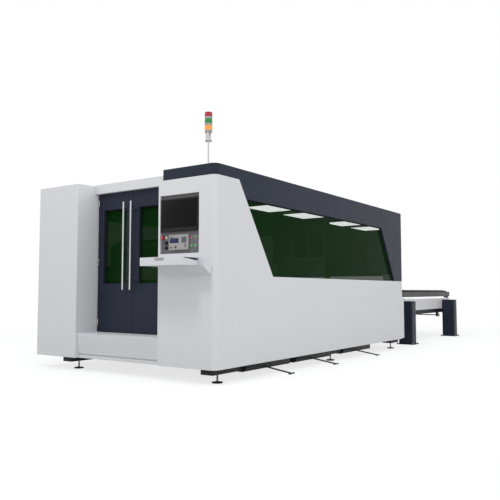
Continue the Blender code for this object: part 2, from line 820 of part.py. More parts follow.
def build_kick_plate():
    """The folded kick plate under the doors: sill, leaning face, groove and toe."""
    foot = KICK_AT + KICK_LEAN
    outline = [
        (KICK_AT, DOOR_BOTTOM),
        (POD_DEPTH, DOOR_BOTTOM),
        (POD_DEPTH, DOOR_BOTTOM - SILL_THICK),
        (KICK_AT + KICK_THICK, DOOR_BOTTOM - SILL_THICK),
        (foot + KICK_THICK, KICK_BOTTOM),
        (foot + KICK_THICK, BODY_FLOOR),
        (foot, BODY_FLOOR),
        (foot, KICK_BOTTOM - KICK_GROOVE),
        (foot + KICK_THICK / 2, KICK_BOTTOM - KICK_GROOVE),
        (foot + KICK_THICK / 2, KICK_BOTTOM),
        (foot, KICK_BOTTOM),
    ]
    wall = hinge_x(-1) - HINGE_INSET - DOOR_CLEAR
    right = RIGHT - POD_WIDTH - SEAT
    cabinet = RIGHT - BODY_WIDTH + CABINET_WIDTH
    shell = prism(behind(outline), 0, (cabinet + SEAT, right))
    past = block(
        (cabinet - OVERRUN, wall + SEAT),
        back(DOOR_AT - 2 * HINGE_LUG, POD_DEPTH + OVERRUN),
        (0.0, BODY_TOP),
    )
    slope = [
        (cabinet - OVERRUN, FRONT - OVERRUN),
        (cabinet + SEAT, FRONT - OVERRUN),
        (cabinet + SEAT, FRONT),
        (wall + SEAT, FRONT + DOOR_AT - 2 * HINGE_LUG),
        (wall + SEAT, FRONT + DOOR_AT),
        (cabinet - OVERRUN, FRONT + DOOR_AT),
    ]
    piece("kick_plate", WHITE, [shell], [past, prism(slope, 2, (0.0, BODY_TOP))])


def build_door(side):
    """One door leaf with its window, knuckles, laser glass and pull bar, on its hinge axis."""
    word = "right" if side > 0 else "left"
    axis = hinge_x(side)
    outer = axis + side * HINGE_INSET
    inner = outer - side * LEAF_WIDTH
    middle = (outer + inner) / 2
    front, rear = back(DOOR_AT, DOOR_AT + DOOR_THICK)
    pivot = (axis, FRONT + DOOR_AT - HINGE_FORWARD, 0.0)
    half = PANE_WIDTH / 2
    leaf = block((outer, inner), (front, rear), (DOOR_BOTTOM + SEAT, DOOR_TOP))
    through = (front - OVERRUN, rear + OVERRUN)
    opening = block((middle - half, middle + half), through, (PANE_BOTTOM, PANE_TOP))
    lap = half + PANE_LAP
    rebate = block(
        (middle - lap, middle + lap),
        (rear - PANE_THICK - SEAT, rear + OVERRUN),
        (PANE_BOTTOM - PANE_LAP, PANE_TOP + PANE_LAP),
    )
    adds = [leaf]
    for level in (HINGE_LOW, HINGE_MIDDLE, HINGE_HIGH):
        low = (pivot[0], pivot[1], level - KNUCKLE_LENGTH / 2)
        high = (pivot[0], pivot[1], level + KNUCKLE_LENGTH / 2)
        adds.append(rod(low, high, KNUCKLE_RADIUS, 12))
    piece(f"{word}_door", NAVY, adds, [opening, rebate], pivot)
    fit = lap - SEAT
    pane = block(
        (middle - fit, middle + fit),
        (rear - PANE_THICK, rear),
        (PANE_BOTTOM - PANE_LAP + SEAT, PANE_TOP + PANE_LAP - SEAT),
    )
    piece(f"{word}_door_glass", GREEN_GLASS, [pane], pivot=pivot)
    x = inner + side * BAR_FROM_EDGE
    y = front - BAR_STAND
    bar = [rod((x, y, BAR_BOTTOM), (x, y, BAR_BOTTOM + BAR_LENGTH), BAR_RADIUS)]
    for level in (BAR_BOTTOM + BAR_POST_INSET, BAR_BOTTOM + BAR_LENGTH - BAR_POST_INSET):
        bar.append(rod((x, y, level), (x, front - SEAT, level), BAR_POST_RADIUS, 12))
    piece(f"{word}_pull_bar", BRIGHT, bar, pivot=pivot)


def control_level(share):
    """A level this share of the way up from the fascia's bottom to the screen."""
    return FASCIA_BOTTOM + (SCREEN_BOTTOM - FASCIA_BOTTOM) * share


def control_places():
    """Each control's name, finish, distance in, level, cap radius and how far it stands proud."""
    stop, key = FASCIA_LEFT_IN - STOP_FROM_LEFT, FASCIA_LEFT_IN - KEY_FROM_LEFT
    near = FASCIA_RIGHT_IN + BUTTON_FROM_RIGHT
    far = near + BUTTON_PITCH
    high, low = control_level(BUTTON_HIGH_SHARE), control_level(BUTTON_LOW_SHARE)
    top = control_level(CONTROL_HIGH_SHARE)
    middle, bottom = control_level(CONTROL_MID_SHARE), control_level(CONTROL_LOW_SHARE)
    return (
        ("emergency_stop", RED, stop, top, STOP_RADIUS, STOP_PROUD),
        ("key_switch", BRIGHT, key, top, BUTTON_RADIUS, BUTTON_PROUD),
        ("upper_selector", BLACK, key, middle, KNOB_RADIUS, KNOB_PROUD),
        ("lower_selector", BLACK, key, bottom, KNOB_RADIUS, KNOB_PROUD),
        ("stop_button", RED, far, high, BUTTON_RADIUS, BUTTON_PROUD),
        ("start_button", LAMP_GREEN, near, high, BUTTON_RADIUS, BUTTON_PROUD),
        ("table_out_button", LAMP_GREEN, far, low, BUTTON_RADIUS, BUTTON_PROUD),
        ("table_in_button", LAMP_GREEN, near, low, BUTTON_RADIUS, BUTTON_PROUD),
    )


def build_console():
    """The fascia in its recess, with the screen, the control unit and the controls."""
    face = FRONT + RECESS_DEPTH - SEAT - FASCIA_THICK
    plate = block(
        inward(FASCIA_LEFT_IN - SEAT, FASCIA_RIGHT_IN + SEAT),
        (face, face + FASCIA_THICK),
        (FASCIA_BOTTOM + SEAT, FASCIA_TOP - SEAT),
    )
    holes = []
    for name, finish, distance, level, radius, proud in control_places():
        x = RIGHT - distance
        hole = BUTTON_SHANK + CONTROL_FIT
        holes.append(rod((x, face - OVERRUN, level), (x, face + FASCIA_THICK + OVERRUN, level), hole, 12))
        skirt = 0.0 if finish == BLACK or name == "key_switch" else BUTTON_TRAVEL
        shank = FASCIA_THICK - BUTTON_TRAVEL - CONTROL_FIT
        profile = [
            (BUTTON_SHANK, 0.0),
            (BUTTON_SHANK, shank + skirt + SEAT),
            (radius, shank + skirt + SEAT),
            (radius, shank + proud),
            (radius * CAP_SHARE, shank + proud + CONTROL_FIT),
        ]
        foot = (x, face + shank, level)
        shapes = [turned(profile, foot, (0, -1, 0), 12)]
        if finish == BLACK or name == "key_switch":
            grip = BUTTON_SHANK / 2
            reach = radius * CAP_SHARE
            depth = (face - proud - grip, face - proud + CONTROL_FIT)
            shapes.append(block((x - grip, x + grip), depth, (level - reach, level + reach)))
        piece(name, finish, shapes, pivot=(x, face, level))
    piece("console_fascia", PANEL_GREY, [plate], holes)
    screen = block(
        inward(FASCIA_LEFT_IN - SCREEN_INSET, FASCIA_RIGHT_IN + SCREEN_INSET),
        (face - SEAT - SCREEN_THICK, face - SEAT),
        (SCREEN_BOTTOM, SCREEN_TOP),
    )
    piece("monitor", SCREEN_BLACK, [screen])
    unit = block(
        inward(FASCIA_LEFT_IN - UNIT_FROM_LEFT, FASCIA_RIGHT_IN + UNIT_FROM_RIGHT),
        (face - SEAT - UNIT_THICK, face - SEAT),
        (FASCIA_BOTTOM + UNIT_ABOVE, SCREEN_BOTTOM - UNIT_BELOW),
    )
    piece("height_control_unit", SILVER, [unit])


def build_shelf():
    """The keyboard shelf: a sleeve on the pod, its sliding tray and the wedge bracket below."""
    left, right = inward(SHELF_LEFT_IN, SHELF_RIGHT_IN)
    lip = FRONT - SHELF_DEPTH + TRAY_FRONT + SEAT
    sleeve = block((left, right), (lip, FRONT - SEAT), (SHELF_BOTTOM, SHELF_TOP))
    hollow = block(
        (left + SHELF_SHEET, right - SHELF_SHEET),
        (lip - OVERRUN, FRONT - SEAT - SHELF_SHEET),
        (SHELF_BOTTOM + SHELF_SHEET, SHELF_TOP - SHELF_SHEET),
    )
    high = SHELF_TOP - 2 * SHELF_SHEET
    notch = [
        (lip + SLOT_MARGIN, high),
        (lip + SLOT_MARGIN, high - SHELF_SHEET),
        (FRONT - SLOT_MARGIN, high - SLOT_DEPTH),
        (FRONT - SLOT_MARGIN, high),
    ]
    piece("shelf_sleeve", WHITE, [sleeve], [hollow, prism(notch, 0, (right - OVERRUN, right + OVERRUN))])
    wall = SHELF_SHEET + TRAY_CLEAR
    floor = SHELF_BOTTOM + SHELF_SHEET + SEAT
    tray = block(
        (left + wall, right - wall),
        (lip - SEAT - TRAY_FRONT / 2, FRONT - wall - SEAT),
        (floor, floor + TRAY_WALL_HEIGHT),
    )
    front = block((left, right), (FRONT - SHELF_DEPTH, lip - SEAT), (SHELF_BOTTOM, SHELF_TOP))
    inside = block(
        (left + wall + SHELF_SHEET, right - wall - SHELF_SHEET),
        (lip + SHELF_SHEET, FRONT - wall - SEAT - SHELF_SHEET),
        (floor + SHELF_SHEET, floor + TRAY_WALL_HEIGHT + OVERRUN),
    )
    grip = block(
        (left + GRIP_FROM_LEFT, left + GRIP_FROM_LEFT + GRIP_LENGTH),
        (FRONT - SHELF_DEPTH - OVERRUN, FRONT - SHELF_DEPTH + GRIP_DEPTH),
        (SHELF_TOP - GRIP_FROM_TOP - GRIP_HEIGHT, SHELF_TOP - GRIP_FROM_TOP),
    )
    piece("keyboard_tray", WHITE, [tray, front], [inside, grip])
    wedge = [
        (-SEAT, WEDGE_FOOT),
        (-SEAT, SHELF_BOTTOM - SEAT),
        (-WEDGE_REACH, SHELF_BOTTOM - SEAT),
    ]
    piece("shelf_bracket", WHITE, [prism(behind(wedge), 0, inward(WEDGE_LEFT_IN, WEDGE_RIGHT_IN))])


def build_drawers():
    """Scrap drawers under the bed, each with its sloping pull rod and grip."""
    for number, at in enumerate((DRAWER_FIRST_AT, DRAWER_SECOND_AT, DRAWER_THIRD_AT), 1):
        near, far = RIGHT - DRAWER_IN, RIGHT - DRAWER_IN - DRAWER_DEPTH
        shell = block((near, far), back(at, at + DRAWER_WIDTH), (DRAWER_BOTTOM, DRAWER_TOP))
        inside = block(
            (near - DRAWER_WALL, far + DRAWER_WALL),
            back(at + DRAWER_WALL, at + DRAWER_WIDTH - DRAWER_WALL),
            (DRAWER_BOTTOM + DRAWER_WALL, DRAWER_TOP + OVERRUN),
        )
        y = FRONT + at + PULL_FROM_EDGE
        tip = (RIGHT + PULL_REACH - PULL_RADIUS, y, PULL_LEVEL - PULL_DROP)
        pull = rod((near - DRAWER_WALL / 2, y, PULL_LEVEL), tip, PULL_RADIUS, 8)
        half = PULL_GRIP / 2
        grip = rod((tip[0], y - half, tip[2]), (tip[0], y + half, tip[2]), PULL_RADIUS, 8)
        piece(f"scrap_drawer_{number}", BLACK, [shell, pull, grip], [inside])


def build_gantry():
    """The gantry on its rails: beam and trucks, cross carriage, vertical slide and cutting head."""
    rail_middle = (BEAM_OUTER_IN + BEAM_INNER_IN) / 2
    half = RAIL_WIDTH / 2
    rail_foot = BEAM_TOP + SEAT
    truck_foot = rail_foot + RAIL_HEIGHT + SEAT
    for side, word in ((1, "right"), (-1, "left")):
        rail = block(
            side_x(side, rail_middle - half, rail_middle + half),
            back(BED_START, BED_END),
            (rail_foot, rail_foot + RAIL_HEIGHT),
        )
        piece(f"{word}_gantry_rail", BRIGHT, [rail])
    front = FRONT + GANTRY_AT
    truck_half = TRUCK_WIDTH / 2
    beam_end = rail_middle - truck_half
    adds = [
        block(
            side_x(1, beam_end) + side_x(-1, beam_end),
            (front, front + GANTRY_BEAM_WIDTH),
            (GANTRY_BEAM_BOTTOM, GANTRY_BEAM_TOP),
        )
    ]
    overhang = (TRUCK_LENGTH - GANTRY_BEAM_WIDTH) / 2
    for side in (1, -1):
        adds.append(
            block(
                side_x(side, beam_end, beam_end + TRUCK_WIDTH),
                (front - overhang, front + GANTRY_BEAM_WIDTH + overhang),
                (truck_foot, truck_foot + TRUCK_HEIGHT),
            )
        )
    low, high = GANTRY_BEAM_BOTTOM + 2 * GUIDE_SIZE, GANTRY_BEAM_TOP - 3 * GUIDE_SIZE
    for level in (low, high):
        adds.append(
            block(
                side_x(1, beam_end + TRUCK_WIDTH) + side_x(-1, beam_end + TRUCK_WIDTH),
                (front - GUIDE_SIZE, front + SHELF_SHEET),
                (level, level + GUIDE_SIZE),
            )
        )
    piece("gantry_beam", WHITE, adds)
    face = front - GUIDE_SIZE - SEAT
    start = RIGHT - CARRIAGE_START_IN
    plate = block(
        (start, start - CARRIAGE_WIDTH),
        (face - CARRIAGE_THICK, face),
        (truck_foot + TRUCK_HEIGHT + SHELF_SHEET, GANTRY_BEAM_TOP),
    )
    middle = start - CARRIAGE_WIDTH / 2
    piece("cross_carriage", GREY, [plate])
    face -= CARRIAGE_THICK + SEAT
    half = SLIDE_WIDTH / 2
    slide = block((middle - half, middle + half), (face - SLIDE_THICK, face), (SLIDE_BOTTOM, SLIDE_TOP))
    piece("head_slide", GREY, [slide])
    face -= SLIDE_THICK + SEAT
    half = HEAD_WIDTH / 2
    body = block((middle - half, middle + half), (face - HEAD_DEPTH, face), (HEAD_BOTTOM, HEAD_TOP))
    profile = [
        (NOZZLE_RADIUS / 2, 0.0),
        (NOZZLE_RADIUS, NOZZLE_RADIUS),
        (NOZZLE_RADIUS * 2, NOZZLE_RADIUS * 3),
        (COLLAR_RADIUS, COLLAR_RADIUS + NOZZLE_RADIUS),
        (COLLAR_RADIUS, HEAD_BOTTOM - NOZZLE_TIP + OVERRUN),
    ]
    nose = turned(profile, (middle, face - HEAD_DEPTH / 2, NOZZLE_TIP), (0, 0, 1))
    piece("cutting_head", SILVER, [body, nose])


def build_posts():
    """The four lift posts, rounded boxes on floor plates."""
    for side, word in ((1, "right"), (-1, "left")):
        for at, end in ((POST_NEAR_AT, "near"), (POST_FAR_AT, "far")):
            x = sorted(side_x(side, POST_IN, POST_IN + POST_WIDTH))
            y = back(at, at + POST_DEPTH)
            plan = [(x[0], y[0]), (x[1], y[0]), (x[1], y[1]), (x[0], y[1])]
            post = prism(rounded(plan, [POST_CORNER] * 4), 2, (0.0, POST_TOP))
            lap = POST_PLATE_LAP
            plate = block((x[0] - lap, x[1] + lap), (y[0] - lap, y[1] + lap), (0.0, POST_PLATE))
            piece(f"{word}_{end}_post", NAVY, [post, plate])


def build_table_base():
    """The fixed black base between the posts that the lift frame rests on."""
    top = LIFT_BOTTOM - SEAT
    low = top - TIE_HEIGHT
    start, end = POST_NEAR_AT, POST_FAR_AT + POST_DEPTH
    adds = [block(side_x(1, LIFT_IN) + side_x(-1, LIFT_IN), back(start, start + TIE_WIDTH), (low, top))]
    adds.append(block(side_x(1, LIFT_IN) + side_x(-1, LIFT_IN), back(end - TIE_WIDTH, end), (low, top)))
    for side in (1, -1):
        adds.append(block(side_x(side, LIFT_IN, LIFT_IN + TIE_WIDTH), back(start, end), (low, top)))
        for at in (POST_NEAR_AT, POST_FAR_AT):
            adds.append(
                block(
                    side_x(side, POST_IN + POST_WIDTH + SEAT, LIFT_IN + OVERRUN),
                    back(at, at + POST_DEPTH),
                    (low, top),
                )
            )
            gusset = [
                (at, top - TIE_HEIGHT / 2),
                (at + GUSSET_REACH, top - TIE_HEIGHT / 2),
                (at + GUSSET_REACH * GUSSET_SHARE, low - TIE_HEIGHT),
                (at, low - TIE_HEIGHT),
            ]
            if at == POST_NEAR_AT:
                adds.append(prism(behind(gusset), 0, side_x(side, LIFT_IN, LIFT_IN + TIE_WIDTH)))
    piece("table_base", BLACK, adds)


def build_lift_frame():
    """The white lift frame: two long webs, each with an upper and a lower pallet track."""
    adds = []
    start, end = back(LIFT_START, LIFT_START + LIFT_LENGTH)
    for side in (1, -1):
        adds.append(block(side_x(side, LIFT_IN, LIFT_IN + LIFT_WEB), (start, end), (LIFT_BOTTOM, LIFT_TOP)))
        reach = side_x(side, LIFT_IN, LIFT_IN + TRACK_REACH)
        for level in (TRACK_LEVEL, TRACK_LEVEL - LEVEL_PITCH):
            adds.append(block(reach, (start, end), (level - TRACK_THICK, level)))
        for at in (POST_NEAR_AT, POST_FAR_AT):
            shoe = side_x(side, POST_IN + POST_WIDTH + SEAT, LIFT_IN + LIFT_WEB / 2)
            ends = back(at + POST_CORNER, at + POST_DEPTH - POST_CORNER)
            adds.append(block(shoe, ends, (LIFT_BOTTOM, LIFT_TOP)))
    across = side_x(1, LIFT_IN + LIFT_WEB / 2) + side_x(-1, LIFT_IN + LIFT_WEB / 2)
    for share in TIE_AT_SHARE:
        at = start + (end - start) * share
        adds.append(block(across, (at, at + LIFT_TIE_WIDTH), (LIFT_BOTTOM, LIFT_BOTTOM + LIFT_TIE_HEIGHT)))
    piece("lift_frame", WHITE, adds)


def slat_outline():
    """One slat across the pallet: a straight foot and a row of pointed teeth."""
    root = PALLET_SIDE_IN + PALLET_RAIL_WIDTH / 2
    left, right = side_x(-1, root) + side_x(1, root)
    pitch = (right - left) / SLAT_TEETH
    outline = [(left, SLAT_FOOT), (right, SLAT_FOOT)]
    for n in range(SLAT_TEETH):
        outline.append((right - pitch * n, PALLET_TOP - SLAT_TOOTH))
        outline.append((right - pitch * (n + 0.5), PALLET_TOP))
    outline.append((left, PALLET_TOP - SLAT_TOOTH))
    return outline


def build_pallet(name, drop):
    """A shuttle pallet: side and end rails, toothed slats and four flanged wheels."""
    start, end = TABLE_END - PALLET_LENGTH, TABLE_END
    level = (PALLET_RAIL_BOTTOM, PALLET_RAIL_TOP)
    width = PALLET_RAIL_WIDTH
    across = side_x(1, PALLET_SIDE_IN) + side_x(-1, PALLET_SIDE_IN)
    adds = [block(across, (start, start + width), level), block(across, (end - width, end), level)]
    for side in (1, -1):
        adds.append(block(side_x(side, PALLET_SIDE_IN, PALLET_SIDE_IN + width), (start, end), level))
    pitch = (PALLET_LENGTH - 2 * SLAT_MARGIN) / (SLAT_COUNT - 1)
    for n in range(SLAT_COUNT):
        at = start + SLAT_MARGIN + pitch * n - SLAT_THICK / 2
        adds.append(prism(slat_outline(), 1, (at, at + SLAT_THICK)))
    hub = TRACK_LEVEL + SEAT + WHEEL_RADIUS
    for side in (1, -1):
        for share in WHEEL_SHARES:
            y = start + PALLET_LENGTH * share
            near = PALLET_SIDE_IN - SHELF_SHEET
            inner, outer = side_x(side, near, near - WHEEL_WIDTH)
            root = side_x(side, PALLET_SIDE_IN + width / 2)[0]
            adds.append(rod((inner, y, hub), (outer, y, hub), WHEEL_RADIUS, 12))
            adds.append(rod((root, y, hub), ((inner + outer) / 2, y, hub), WHEEL_AXLE, 8))
            adds.append(
                block(
                    side_x(side, PALLET_SIDE_IN, PALLET_SIDE_IN + width),
                    (y - WHEEL_RADIUS, y + WHEEL_RADIUS),
                    (hub - WHEEL_AXLE, PALLET_RAIL_BOTTOM + WHEEL_AXLE),
                )
            )
    made = piece(name, BLACK, adds)
    made.location.z -= drop


def build_beacon():
    """The signal beacon on its mast: neck and amber, green and red lenses."""
    x, y = RIGHT - BEACON_IN, FRONT + BEACON_AT
    foot = BODY_TOP + SEAT
    profile = [
        (MAST_RADIUS * 3, 0.0),
        (MAST_RADIUS * 3, MAST_FLANGE / 2),
        (MAST_RADIUS, MAST_FLANGE),
        (MAST_RADIUS, MAST_TOP - foot),
        (MAST_FLANGE_RADIUS, MAST_TOP - foot),
        (MAST_FLANGE_RADIUS, MAST_TOP - foot + MAST_FLANGE),
        (NECK_RADIUS, MAST_TOP - foot + MAST_FLANGE),
        (NECK_RADIUS, NECK_TOP - foot - SEAT),
    ]
    piece("beacon_mast", BRIGHT, [turned(profile, (x, y, foot), (0, 0, 1))])
    lenses = (("amber_lens", AMBER), ("green_lens", LAMP_GREEN), ("red_lens", RED))
    for n, (name, finish) in enumerate(lenses):
        low = NECK_TOP + (LENS_HEIGHT + LENS_RING) * n
        top = LENS_RING + LENS_HEIGHT - SEAT
        lens = [
            (RING_RADIUS, 0.0),
            (RING_RADIUS, LENS_RING),
            (BEACON_RADIUS, LENS_RING),
            (BEACON_RADIUS, top - LENS_DOME / 2),
            (BEACON_RADIUS - LENS_DOME / 2, top),
        ]
        piece(name, finish, [turned(lens, (x, y, low), (0, 0, 1))])


def main():
    clear_scene()
    build_bed()
    build_feet()
    build_sides()
    build_roof()
    build_lamps()
    build_rear()
    build_pod()
    build_cabinet()
    build_door_frame()
    build_kick_plate()
    build_door(-1)
    build_door(1)
    build_console()
    build_shelf()
    build_drawers()
    build_gantry()
    build_posts()
    build_table_base()
    build_lift_frame()
    build_pallet("upper_pallet", 0.0)
    build_pallet("lower_pallet", LEVEL_PITCH)
    build_beacon()


main()
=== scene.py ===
"""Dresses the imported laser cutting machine: finishes, small fittings, the studio and the camera.

Lengths are in metres in the frame's own axes: X to the machine's right, Y to its rear, Z up.
"""

import logging
import math
from collections.abc import Callable, Iterable, Sequence
from dataclasses import dataclass, field, replace
from enum import Enum
from functools import cached_property

import bmesh
import bpy
from mathutils import Matrix, Vector


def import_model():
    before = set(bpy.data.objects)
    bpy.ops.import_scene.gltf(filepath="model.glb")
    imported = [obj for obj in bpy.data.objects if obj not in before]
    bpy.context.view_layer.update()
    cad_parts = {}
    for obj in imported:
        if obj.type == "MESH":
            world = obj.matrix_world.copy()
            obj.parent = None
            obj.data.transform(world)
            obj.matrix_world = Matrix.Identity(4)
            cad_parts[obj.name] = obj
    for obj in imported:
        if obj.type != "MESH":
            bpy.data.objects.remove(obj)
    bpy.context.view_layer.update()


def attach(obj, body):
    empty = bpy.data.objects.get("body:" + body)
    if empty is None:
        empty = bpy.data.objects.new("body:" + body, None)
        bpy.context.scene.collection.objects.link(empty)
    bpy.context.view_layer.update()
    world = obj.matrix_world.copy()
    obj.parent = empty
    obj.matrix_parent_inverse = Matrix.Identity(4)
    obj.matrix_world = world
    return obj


LOG = logging.getLogger("laser_cutting_machine")

Pair = tuple[float, float]
Trio = tuple[float, float, float]
Point = Trio
Box = tuple[Point, Point]
Area = tuple[float, float, float, float]
Row = tuple[int, float]
Round = tuple[float, float, int]

RIGHT = 1.285
LEFT = -1.635
MIDDLE = -0.175
FRONT = -4.485
REAR = 0.715
ROOF_TOP = 2.30
HALF_WIDTH = 1.46
SIDES = ((1, "right"), (-1, "left"))

TO_LEFT: Point = (-1.0, 0.0, 0.0)
TO_FRONT: Point = (0.0, -1.0, 0.0)
TO_REAR: Point = (0.0, 1.0, 0.0)
UP: Point = (0.0, 0.0, 1.0)

SEAT = 0.0002
FILM = 0.0001
FINE_EDGE = 0.001
BLOCK_EDGE = 0.002


def inward(side: int, distance: float) -> float:
    """The place this far in from one of the body's faces: side 1 is the right-hand one."""
    return MIDDLE + side * (HALF_WIDTH - distance)


def spread(start: float, end: float, count: int) -> list[float]:
    """Places at even steps from start to end."""
    return [start + (end - start) * n / (count - 1) for n in range(count)]


def shifted(boxes: Iterable[Box], step: Point) -> list[Box]:
    """Boxes moved by one step."""
    return [tuple(tuple(a + b for a, b in zip(corner, step)) for corner in box) for box in boxes]


def circle(centre: Pair, radius: float, count: int) -> list[Pair]:
    """Points round a circle."""
    turns = spread(0.0, 2 * math.pi, count + 1)[:-1]
    return [(centre[0] + radius * math.cos(t), centre[1] + radius * math.sin(t)) for t in turns]


def plate_outline(low: Pair, high: Pair, radius: float = 0.0, steps: int = 5) -> list[Pair]:
    """A rectangle, with round corners where a radius is given.

    Args:
        low: Its lower left corner.
        high: Its upper right corner.
        radius: The corners' radius.
        steps: The points in each round corner.

    Returns:
        The outline's points in order.
    """
    if not radius:
        return [low, (high[0], low[1]), high, (low[0], high[1])]
    middle = ((low[0] + high[0]) / 2, (low[1] + high[1]) / 2)
    points = []
    for turn, corner in enumerate((high, (low[0], high[1]), low, (high[0], low[1]))):
        x, z = (at - math.copysign(radius, at - mid) for at, mid in zip(corner, middle))
        for n in range(steps):
            angle = math.radians(90.0 * (turn + n / (steps - 1)))
            points.append((x + radius * math.cos(angle), z + radius * math.sin(angle)))
    return points


class Axis(Enum):
    """The directions a piece can be drawn out or turned along."""

    X = 0
    Y = 1
    Z = 2


class Slot(Enum):
    """Slot names that a finish carries."""

    WHITE = "white_enamel"
    NAVY = "navy_enamel"
    BLACK = "black_steel"
    GREY = "grey_steel"
    BRIGHT = "bright_steel"
    PLASTIC = "silver_plastic"
    SCREEN = "screen_black"


class Edge(Enum):
    """How wide the rounded edges of the CAD nodes are, by what they are on."""

    TURNED = 0.0
    BUTTON = 0.0006
    BAR = 0.0008
    RAIL = 0.001
    SHELF = 0.0012
    FRAME = 0.0015
    SHEET = 0.002
    PANEL = 0.003
    MOULDING = 0.004


class Ground(Enum):
    """The patterns that a finish can have in its surface."""

    POWDER = "powder"
    BRUSHED = "brushed"
    SMOOTH = "smooth"
    SPATTERED = "spattered"
    DIFFUSER = "diffuser"


@dataclass(frozen=True)
class Finish:
    """A surface finish: its colour, its gloss, how uneven it is and the slot of what wears it."""

    name: str
    colour: Point
    roughness: float
    slot: Slot = Slot.BRIGHT
    metallic: float = 0.0
    ground: Ground = Ground.SMOOTH
    unevenness: float = 0.04
    depth: float = 0.0
    grain: float = 400.0
    dust: float = 0.0
    coat: float = 0.0
    glow: float = 0.0
    cover: float = 1.0
    specular: float = 0.5


@dataclass(frozen=True)
class Head:
    """A screw's or bolt's head. Six sides make a hexagon, and more a round head."""

    width: float
    height: float
    sides: int = 6


def powder(name: str, colour: Point, roughness: float, slot: Slot, **more: float) -> Finish:
    """A powder-coated or moulded finish with a fine peel."""
    return Finish(name, colour, roughness, slot, ground=Ground.POWDER, **more)


def lens(name: str, colour: Point, glow: float) -> Finish:
    """A beacon lens that shines a little."""
    return Finish(name, colour, roughness=0.22, unevenness=0.03, coat=0.2, glow=glow)


WHITE = powder(
    "white_powder_coat", (0.60, 0.60, 0.62), 0.42, Slot.WHITE,
    unevenness=0.012, depth=0.00012, dust=0.10, specular=0.3,
)
NAVY = powder(
    "navy_powder_coat", (0.018, 0.022, 0.037), 0.42, Slot.NAVY,
    unevenness=0.06, depth=0.00010, specular=0.12,
)
ROOF = powder(
    "roof_slate_coat", (0.020, 0.025, 0.039), 0.42, Slot.NAVY,
    unevenness=0.05, depth=0.00010, specular=0.12,
)
BLACK = powder(
    "black_satin_coat", (0.010, 0.010, 0.011), 0.45, Slot.BLACK,
    unevenness=0.10, depth=0.00015, dust=0.03, specular=0.15,
)
SLATE = powder(
    "carriage_slate_coat", (0.115, 0.115, 0.120), 0.45, Slot.GREY,
    unevenness=0.08, depth=0.00015,
)
FASCIA = powder(
    "console_grey_coat", (0.115, 0.110, 0.115), 0.45, Slot.GREY,
    unevenness=0.05, depth=0.00006, specular=0.3,
)
BEZEL = powder(
    "bezel_black", (0.0075, 0.0075, 0.008), 0.42, Slot.BLACK,
    unevenness=0.05, depth=0.00003, specular=0.2,
)
SCREEN_BEZEL = replace(BEZEL, slot=Slot.SCREEN)
UNIT = powder(
    "unit_silver_grey", (0.30, 0.285, 0.280), 0.42, Slot.PLASTIC,
    unevenness=0.03, depth=0.00003,
)
RUBBER = powder(
    "black_rubber", (0.012, 0.012, 0.012), 0.75, Slot.BLACK,
    unevenness=0.10, depth=0.0001, specular=0.25,
)
PALLET = Finish(
    "cut_scarred_steel", (0.075, 0.073, 0.072), 0.50,
    metallic=0.55, ground=Ground.SPATTERED, unevenness=0.30, depth=0.0004,
)
BRIGHT = Finish(
    "brushed_bright_steel", (0.60, 0.60, 0.61), 0.30,
    metallic=1.0, ground=Ground.BRUSHED, unevenness=0.10, depth=0.00004,
)
ZINC = Finish(
    "zinc_plate", (0.46, 0.47, 0.48), 0.36,
    metallic=1.0, ground=Ground.SPATTERED, unevenness=0.12, depth=0.00005,
)
DARK_STEEL = Finish(
    "dark_steel", (0.055, 0.055, 0.058), 0.34,
    metallic=0.8, ground=Ground.SPATTERED, unevenness=0.12, depth=0.00005,
)
SCREEN_STEEL = replace(DARK_STEEL, slot=Slot.SCREEN)
CHROME = Finish("polished_steel", (0.70, 0.70, 0.71), 0.16, metallic=1.0, unevenness=0.03)
COPPER = Finish("nozzle_copper", (0.68, 0.32, 0.19), 0.28, metallic=1.0, unevenness=0.08)
SCREEN = Finish(
    "screen_glass", (0.0070, 0.0070, 0.0072), 0.12, Slot.SCREEN, unevenness=0.02, specular=0.06
)
DISPLAY = Finish(
    "blue_display", (0.010, 0.016, 0.075), 0.15, Slot.SCREEN, unevenness=0.03, specular=0.3
)
KEYPAD = Finish("keypad_slate", (0.050, 0.065, 0.085), 0.40, Slot.SCREEN, unevenness=0.03)
BEACON_GREY = Finish("beacon_grey", (0.30, 0.31, 0.32), 0.40, Slot.PLASTIC, unevenness=0.03)
RED = Finish("red_moulding", (0.58, 0.010, 0.016), 0.30, coat=0.3)
GREEN = Finish("green_moulding", (0.03, 0.40, 0.05), 0.30, coat=0.3)
YELLOW = Finish("yellow_moulding", (0.70, 0.46, 0.03), 0.35)
AMBER_LENS = lens("amber_lens", (0.86, 0.30, 0.04), 0.08)
GREEN_LENS = lens("green_lens", (0.012, 0.20, 0.022), 0.05)
RED_LENS = lens("red_lens", (0.34, 0.010, 0.022), 0.05)
PANE = Finish(
    "green_laser_glass", (0.003, 0.024, 0.003), 0.10, unevenness=0.10, cover=0.69, specular=0.02
)
LAMP = Finish(
    "lamp_diffuser", (0.62, 0.62, 0.63), 0.50, ground=Ground.DIFFUSER, unevenness=0.01, glow=7.6
)


